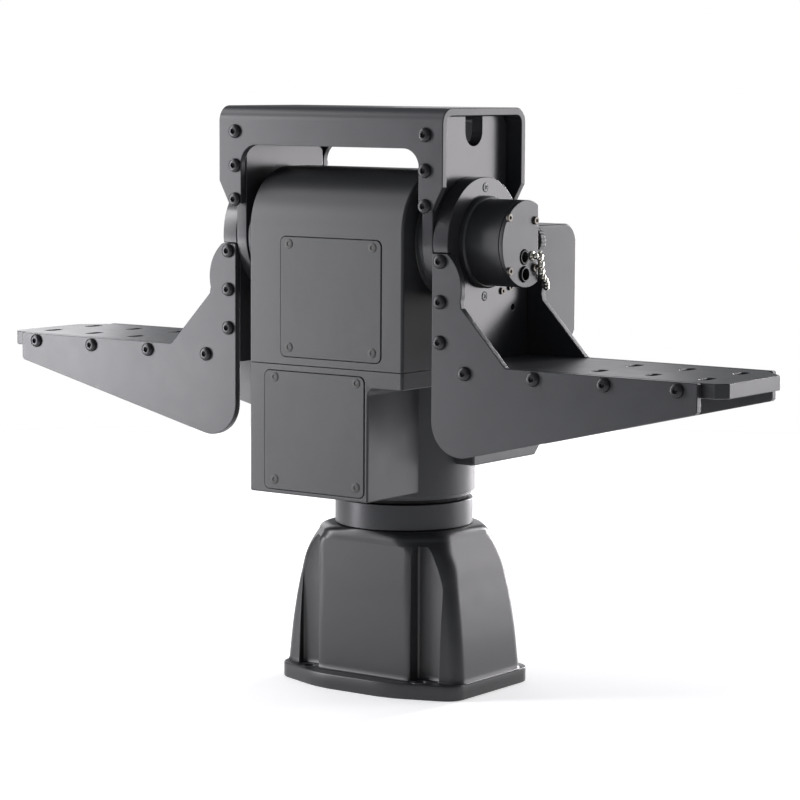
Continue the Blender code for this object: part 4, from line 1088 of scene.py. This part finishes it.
def make_connector():
    # housing on the right hub
    outer = d_outline(27.5, -26.0, 6.5)
    body = bm_plate("X", outer, 90.3, 118.8, bev=0.5)
    foot = bar_solid("X", TY, TZ, [(29.3, 90.3), (29.3, 93.2), (28.2, 94.3)], 0.5, 96)
    for f in foot.faces:
        f.material_index = 0
    for f in body.faces:
        f.material_index = 0
    cuts = [bm_levels("X", [d_outline(24.5, -29.0)], [(80.0, 0.0), (130.0, 0.0)]),
            bm_spin("Y", 107.0, 299.5, [(6.5, -36.0), (6.5, -10.0)], 40)]
    ob = combine("connector_housing_shell", body, adds=[foot], cuts=cuts)
    piece(ob, "yoke", ["casting"], ["connector_housing"])
    ob = raw(bm_plate("X", outer, 119.1, 121.7, holes=[circle(-42.0, 290.8, 4.8, 32),
                                                       circle(-42.0, 280.0, 5.0, 32)], bev=0.45),
             "connector_cap_plate")
    piece(ob, "yoke", ["plate", "plate", "plate_rim"], ["connector_cap"])
    screw_set("connector_cap_screws", lambda: button_screw(2.6, 1.6, 0.95),
              [((121.68, y, z), (1, 0, 0)) for y, z in ((-60.0, 316.1), (-58.8, 282.7), (-29.9, 313.3),
                                                        (-30.5, 283.5))], "yoke",
              mats=("screw_ring", "socket", "screw_black"))
    prof = [(4.3, 112.0), (4.3, 122.4), (3.4, 122.4), (3.4, 116.0), (0.8, 116.0), (0.8, 112.0)]
    ob = raw(ring_solid("X", -42.0, 290.8, prof, 0.2, 40), "signal_port_ring")
    piece(ob, "yoke", ["black_plastic"], ["signal_port"])
    prof = [(4.6, 112.0), (4.6, 123.2), (3.7, 123.2), (3.7, 116.0), (0.8, 116.0), (0.8, 112.0)]
    ob = raw(ring_solid("X", -42.0, 280.0, prof, 0.25, 40), "power_port_ring")
    piece(ob, "yoke", ["screw_black"], ["power_port"])
    prof = [(6.0, -32.0), (6.0, -25.7), (8.6, -25.7), (8.6, -23.6), (7.0, -23.6), (7.0, -14.0),
            (1.2, -14.0), (1.2, -32.0)]
    ob = raw(ring_solid("Y", 107.0, 299.5, prof, 0.3, 48), "side_port_ring")
    piece(ob, "yoke", ["nickel"], ["side_port"])
    # dust cap with a gripping rim
    n = 96
    bm = bmesh.new()
    rings = []
    for r, w, k in ((8.6, -13.7, 0), (9.2, -13.2, 1), (9.2, -8.6, 1), (8.7, -8.0, 0), (8.2, -7.6, 0),
                    (5.4, -7.6, 0), (5.0, -8.0, 0)):
        ring = []
        for i in range(n):
            a = 2 * math.pi * i / n
            q = r - (0.3 if k and i % 4 < 2 else 0.0)
            ring.append(bm.verts.new(to3("Y", 107.0 + q * math.cos(a), 299.5 + q * math.sin(a), w)))
        rings.append(ring)
    for p, q in zip(rings, rings[1:]):
        for i in range(n):
            j = (i + 1) % n
            bm.faces.new((p[i], p[j], q[j], q[i]))
    bm.faces.new(rings[0])
    bm.faces.new(rings[-1])
    bmesh.ops.recalc_face_normals(bm, faces=bm.faces)
    ob = raw(bm, "dust_cap_knob")
    piece(ob, "yoke", ["anodised"], ["dust_cap"], sharp=30)

    # ball chain
    way = [Vector(p) for p in ((124.6, -33.4, 291.2), (125.0, -28.6, 289.4), (124.8, -27.4, 284.6),
                               (124.4, -26.2, 279.8), (123.4, -21.6, 276.4), (121.8, -16.6, 274.0),
                               (119.2, -12.0, 270.6), (116.2, -8.6, 269.8), (113.4, -7.0, 274.2),
                               (111.9, -6.2, 279.6), (111.0, -5.8, 285.2), (110.2, -5.6, 290.0))]
    dense = []
    for i in range(len(way) - 1):
        p0, p1, p2, p3 = (way[max(i - 1, 0)], way[i], way[i + 1], way[min(i + 2, len(way) - 1)])
        for k in range(12):
            t = k / 12
            dense.append(0.5 * ((2 * p1) + (p2 - p0) * t + (2 * p0 - 5 * p1 + 4 * p2 - p3) * t * t
                                + (3 * p1 - p0 - 3 * p2 + p3) * t ** 3))
    dense.append(way[-1])
    step = 4.7
    spots, dist = [dense[0]], 0.0
    for a, b in zip(dense, dense[1:]):
        dist += (b - a).length
        if dist >= step:
            spots.append(b)
            dist = 0.0
    parts = []
    for p in spots:
        s = bmesh.new()
        bmesh.ops.create_uvsphere(s, u_segments=24, v_segments=16, radius=2.1)
        bmesh.ops.translate(s, verts=s.verts, vec=p)
        parts.append(s)
    for a, b in zip(spots, spots[1:]):
        d = b - a
        c = bmesh.new()
        bmesh.ops.create_cone(c, cap_ends=True, segments=10, radius1=0.45, radius2=0.45,
                              depth=d.length)
        m = Matrix.Translation((a + b) / 2) @ d.to_track_quat("Z", "Y").to_matrix().to_4x4()
        bmesh.ops.transform(c, matrix=m, verts=c.verts)
        parts.append(c)
    ob = raw(merge(parts), "dust_cap_chain")
    piece(ob, "yoke", ["nickel"], ["dust_cap_tether"], sharp=60)
    # end fittings of the chain: an eye on the cap plate and one on the dust cap
    parts = [place(bar_solid("Z", 0, 0, [(2.9, 0.0), (2.9, 0.9), (1.9, 1.5), (0.6, 1.6)], 0.2, 32),
                   (121.6, -33.4, 291.4), (1, 0, 0))]
    parts.append(place(bar_solid("Z", 0, 0, [(1.6, 0.0), (1.6, 1.8), (1.0, 2.4), (0.3, 2.5)], 0.2, 24),
                       (110.0, -7.7, 292.6), (0, 1, 0)))
    ob = raw(merge(parts), "dust_cap_chain_eyes")
    piece(ob, "yoke", ["nickel"], sharp=50)
    # two small fixings beside the housing
    screw_set("bracket_end_right_fixings", lambda: button_screw(2.1, 1.3, 0.8),
              [((89.95, -19.1, 266.7), (1, 0, 0)), ((89.95, -9.9, 268.8), (1, 0, 0))], "yoke",
              mats=("screw_ring", "socket", "screw_black"))


# --------------------------------------------------------- nodes that stay as CAD
def dress_nodes():
    table = {
        "pan_spindle": "steel", "slip_ring": "black_plastic", "pan_bearing_lower": "steel",
        "pan_bearing_upper": "steel", "pan_worm_wheel": "bronze", "pan_worm": "steel",
        "pan_motor": "motor", "pan_worm_block": "anodised", "tilt_motor": "motor",
        "tilt_worm_block": "anodised", "tilt_worm": "steel", "tilt_worm_wheel": "bronze",
        "tilt_shaft": "steel", "tilt_bearing_left": "steel", "tilt_bearing_right": "steel",
        "control_board": "circuit", "pan_seal": "rubber", "upper_cover_gasket": "rubber",
        "lower_cover_gasket": "rubber", "housing_seal": "rubber",
    }
    for name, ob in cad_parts.items():
        if ob.hide_render:
            continue
        m = MAT[table[name]]
        if not ob.material_slots:
            ob.data.materials.append(m)
        for s in ob.material_slots:
            s.material = m


# ------------------------------------------------------------------------ stage
def area(name, loc, target, sx, sy, radiance, rgb=(1, 1, 1)):
    li = bpy.data.lights.new(name, "AREA")
    li.shape = "RECTANGLE"
    li.size, li.size_y = sx, sy
    li.energy = radiance * math.pi * sx * sy
    li.color = rgb
    ob = bpy.data.objects.new(name, li)
    SCENE.collection.objects.link(ob)
    ob.location = loc
    d = Vector(target) - Vector(loc)
    ob.rotation_euler = d.to_track_quat("-Z", "Y").to_euler()
    ob.visible_camera = False
    return ob


def around(az, dist, z):
    a = math.radians(az)
    return (dist * math.sin(a), -dist * math.cos(a), z)


def make_stage():
    bm = bmesh.new()
    bmesh.ops.create_circle(bm, cap_ends=True, segments=96, radius=1400.0)
    bmesh.ops.translate(bm, verts=bm.verts, vec=(0, 0, -0.05))
    floor = raw(bm, "floor")
    floor.data.materials.append(MAT["floor"])

    c = (0, 0, 0.25)
    warm, cool = (1.0, 0.97, 1.0), (0.98, 0.97, 1.0)
    area("key_front_left", around(-50.0, 0.95, 0.40), c, 0.25, 0.8, 14.0, cool)
    area("fill_front_left", around(-75.0, 1.2, 1.3), c, 0.8, 0.6, 4.6, cool)
    area("strip_back_left", around(-125.0, 1.5, 0.42), c, 0.34, 1.0, 2.4, cool)
    area("strip_back_far_left", around(-150.0, 1.5, 0.42), c, 0.34, 1.0, 1.2, cool)
    area("low_front", around(-42.0, 1.2, 0.02), (0, 0, 0.15), 0.6, 0.25, 2.6, cool)
    area("strip_right", around(136.0, 1.5, 0.42), c, 0.32, 1.0, 6.0, warm)
    area("strip_right_rear", around(148.0, 1.5, 0.42), c, 0.32, 1.0, 4.5, warm)
    area("strip_back", around(176.0, 1.5, 0.42), c, 0.32, 1.0, 24.0, warm)

    w = bpy.data.worlds.new("studio")
    SCENE.world = w
    w.use_nodes = True
    t = w.node_tree
    t.nodes.clear()
    out = t.nodes.new("ShaderNodeOutputWorld")
    mix = t.nodes.new("ShaderNodeMixShader")
    dim = t.nodes.new("ShaderNodeBackground")
    lit = t.nodes.new("ShaderNodeBackground")
    path = t.nodes.new("ShaderNodeLightPath")
    dim.inputs["Color"].default_value = (0.92, 0.96, 1.0, 1.0)
    dim.inputs["Strength"].default_value = 0.22
    lit.inputs["Color"].default_value = (1.0, 1.0, 1.0, 1.0)
    lit.inputs["Strength"].default_value = 1.0
    t.links.new(path.outputs["Is Camera Ray"], mix.inputs[0])
    t.links.new(dim.outputs[0], mix.inputs[1])
    t.links.new(lit.outputs[0], mix.inputs[2])
    t.links.new(mix.outputs[0], out.inputs["Surface"])

    SCENE.view_settings.view_transform = "Standard"
    SCENE.view_settings.look = "None"


def make_camera():
    a, e, roll = 0.624147884, 0.112094738, 0.00541985791
    f = 2883.169
    back = Vector((math.sin(a) * math.cos(e), -math.cos(a) * math.cos(e), math.sin(e)))
    fwd = -back
    right = fwd.cross(Vector((0, 0, 1))).normalized()
    up = right.cross(fwd)
    r2 = right * math.cos(roll) + up * math.sin(roll)
    u2 = -right * math.sin(roll) + up * math.cos(roll)
    m = Matrix((r2, u2, back)).transposed().to_4x4()
    m.translation = Vector((1.113941, -1.551981, 0.403503))
    cam = bpy.data.objects.new("camera", bpy.data.cameras.new("camera"))
    SCENE.collection.objects.link(cam)
    cam.matrix_world = m
    cam.data.sensor_width = 36.0
    cam.data.lens = f * 36.0 / 800.0
    cam.data.clip_start, cam.data.clip_end = 0.05, 60.0
    cam.data.dof.use_dof = False
    SCENE.camera = cam


make_camera()
make_materials()
make_base()
make_head()
make_yoke()
make_connector()
dress_nodes()
make_stage()
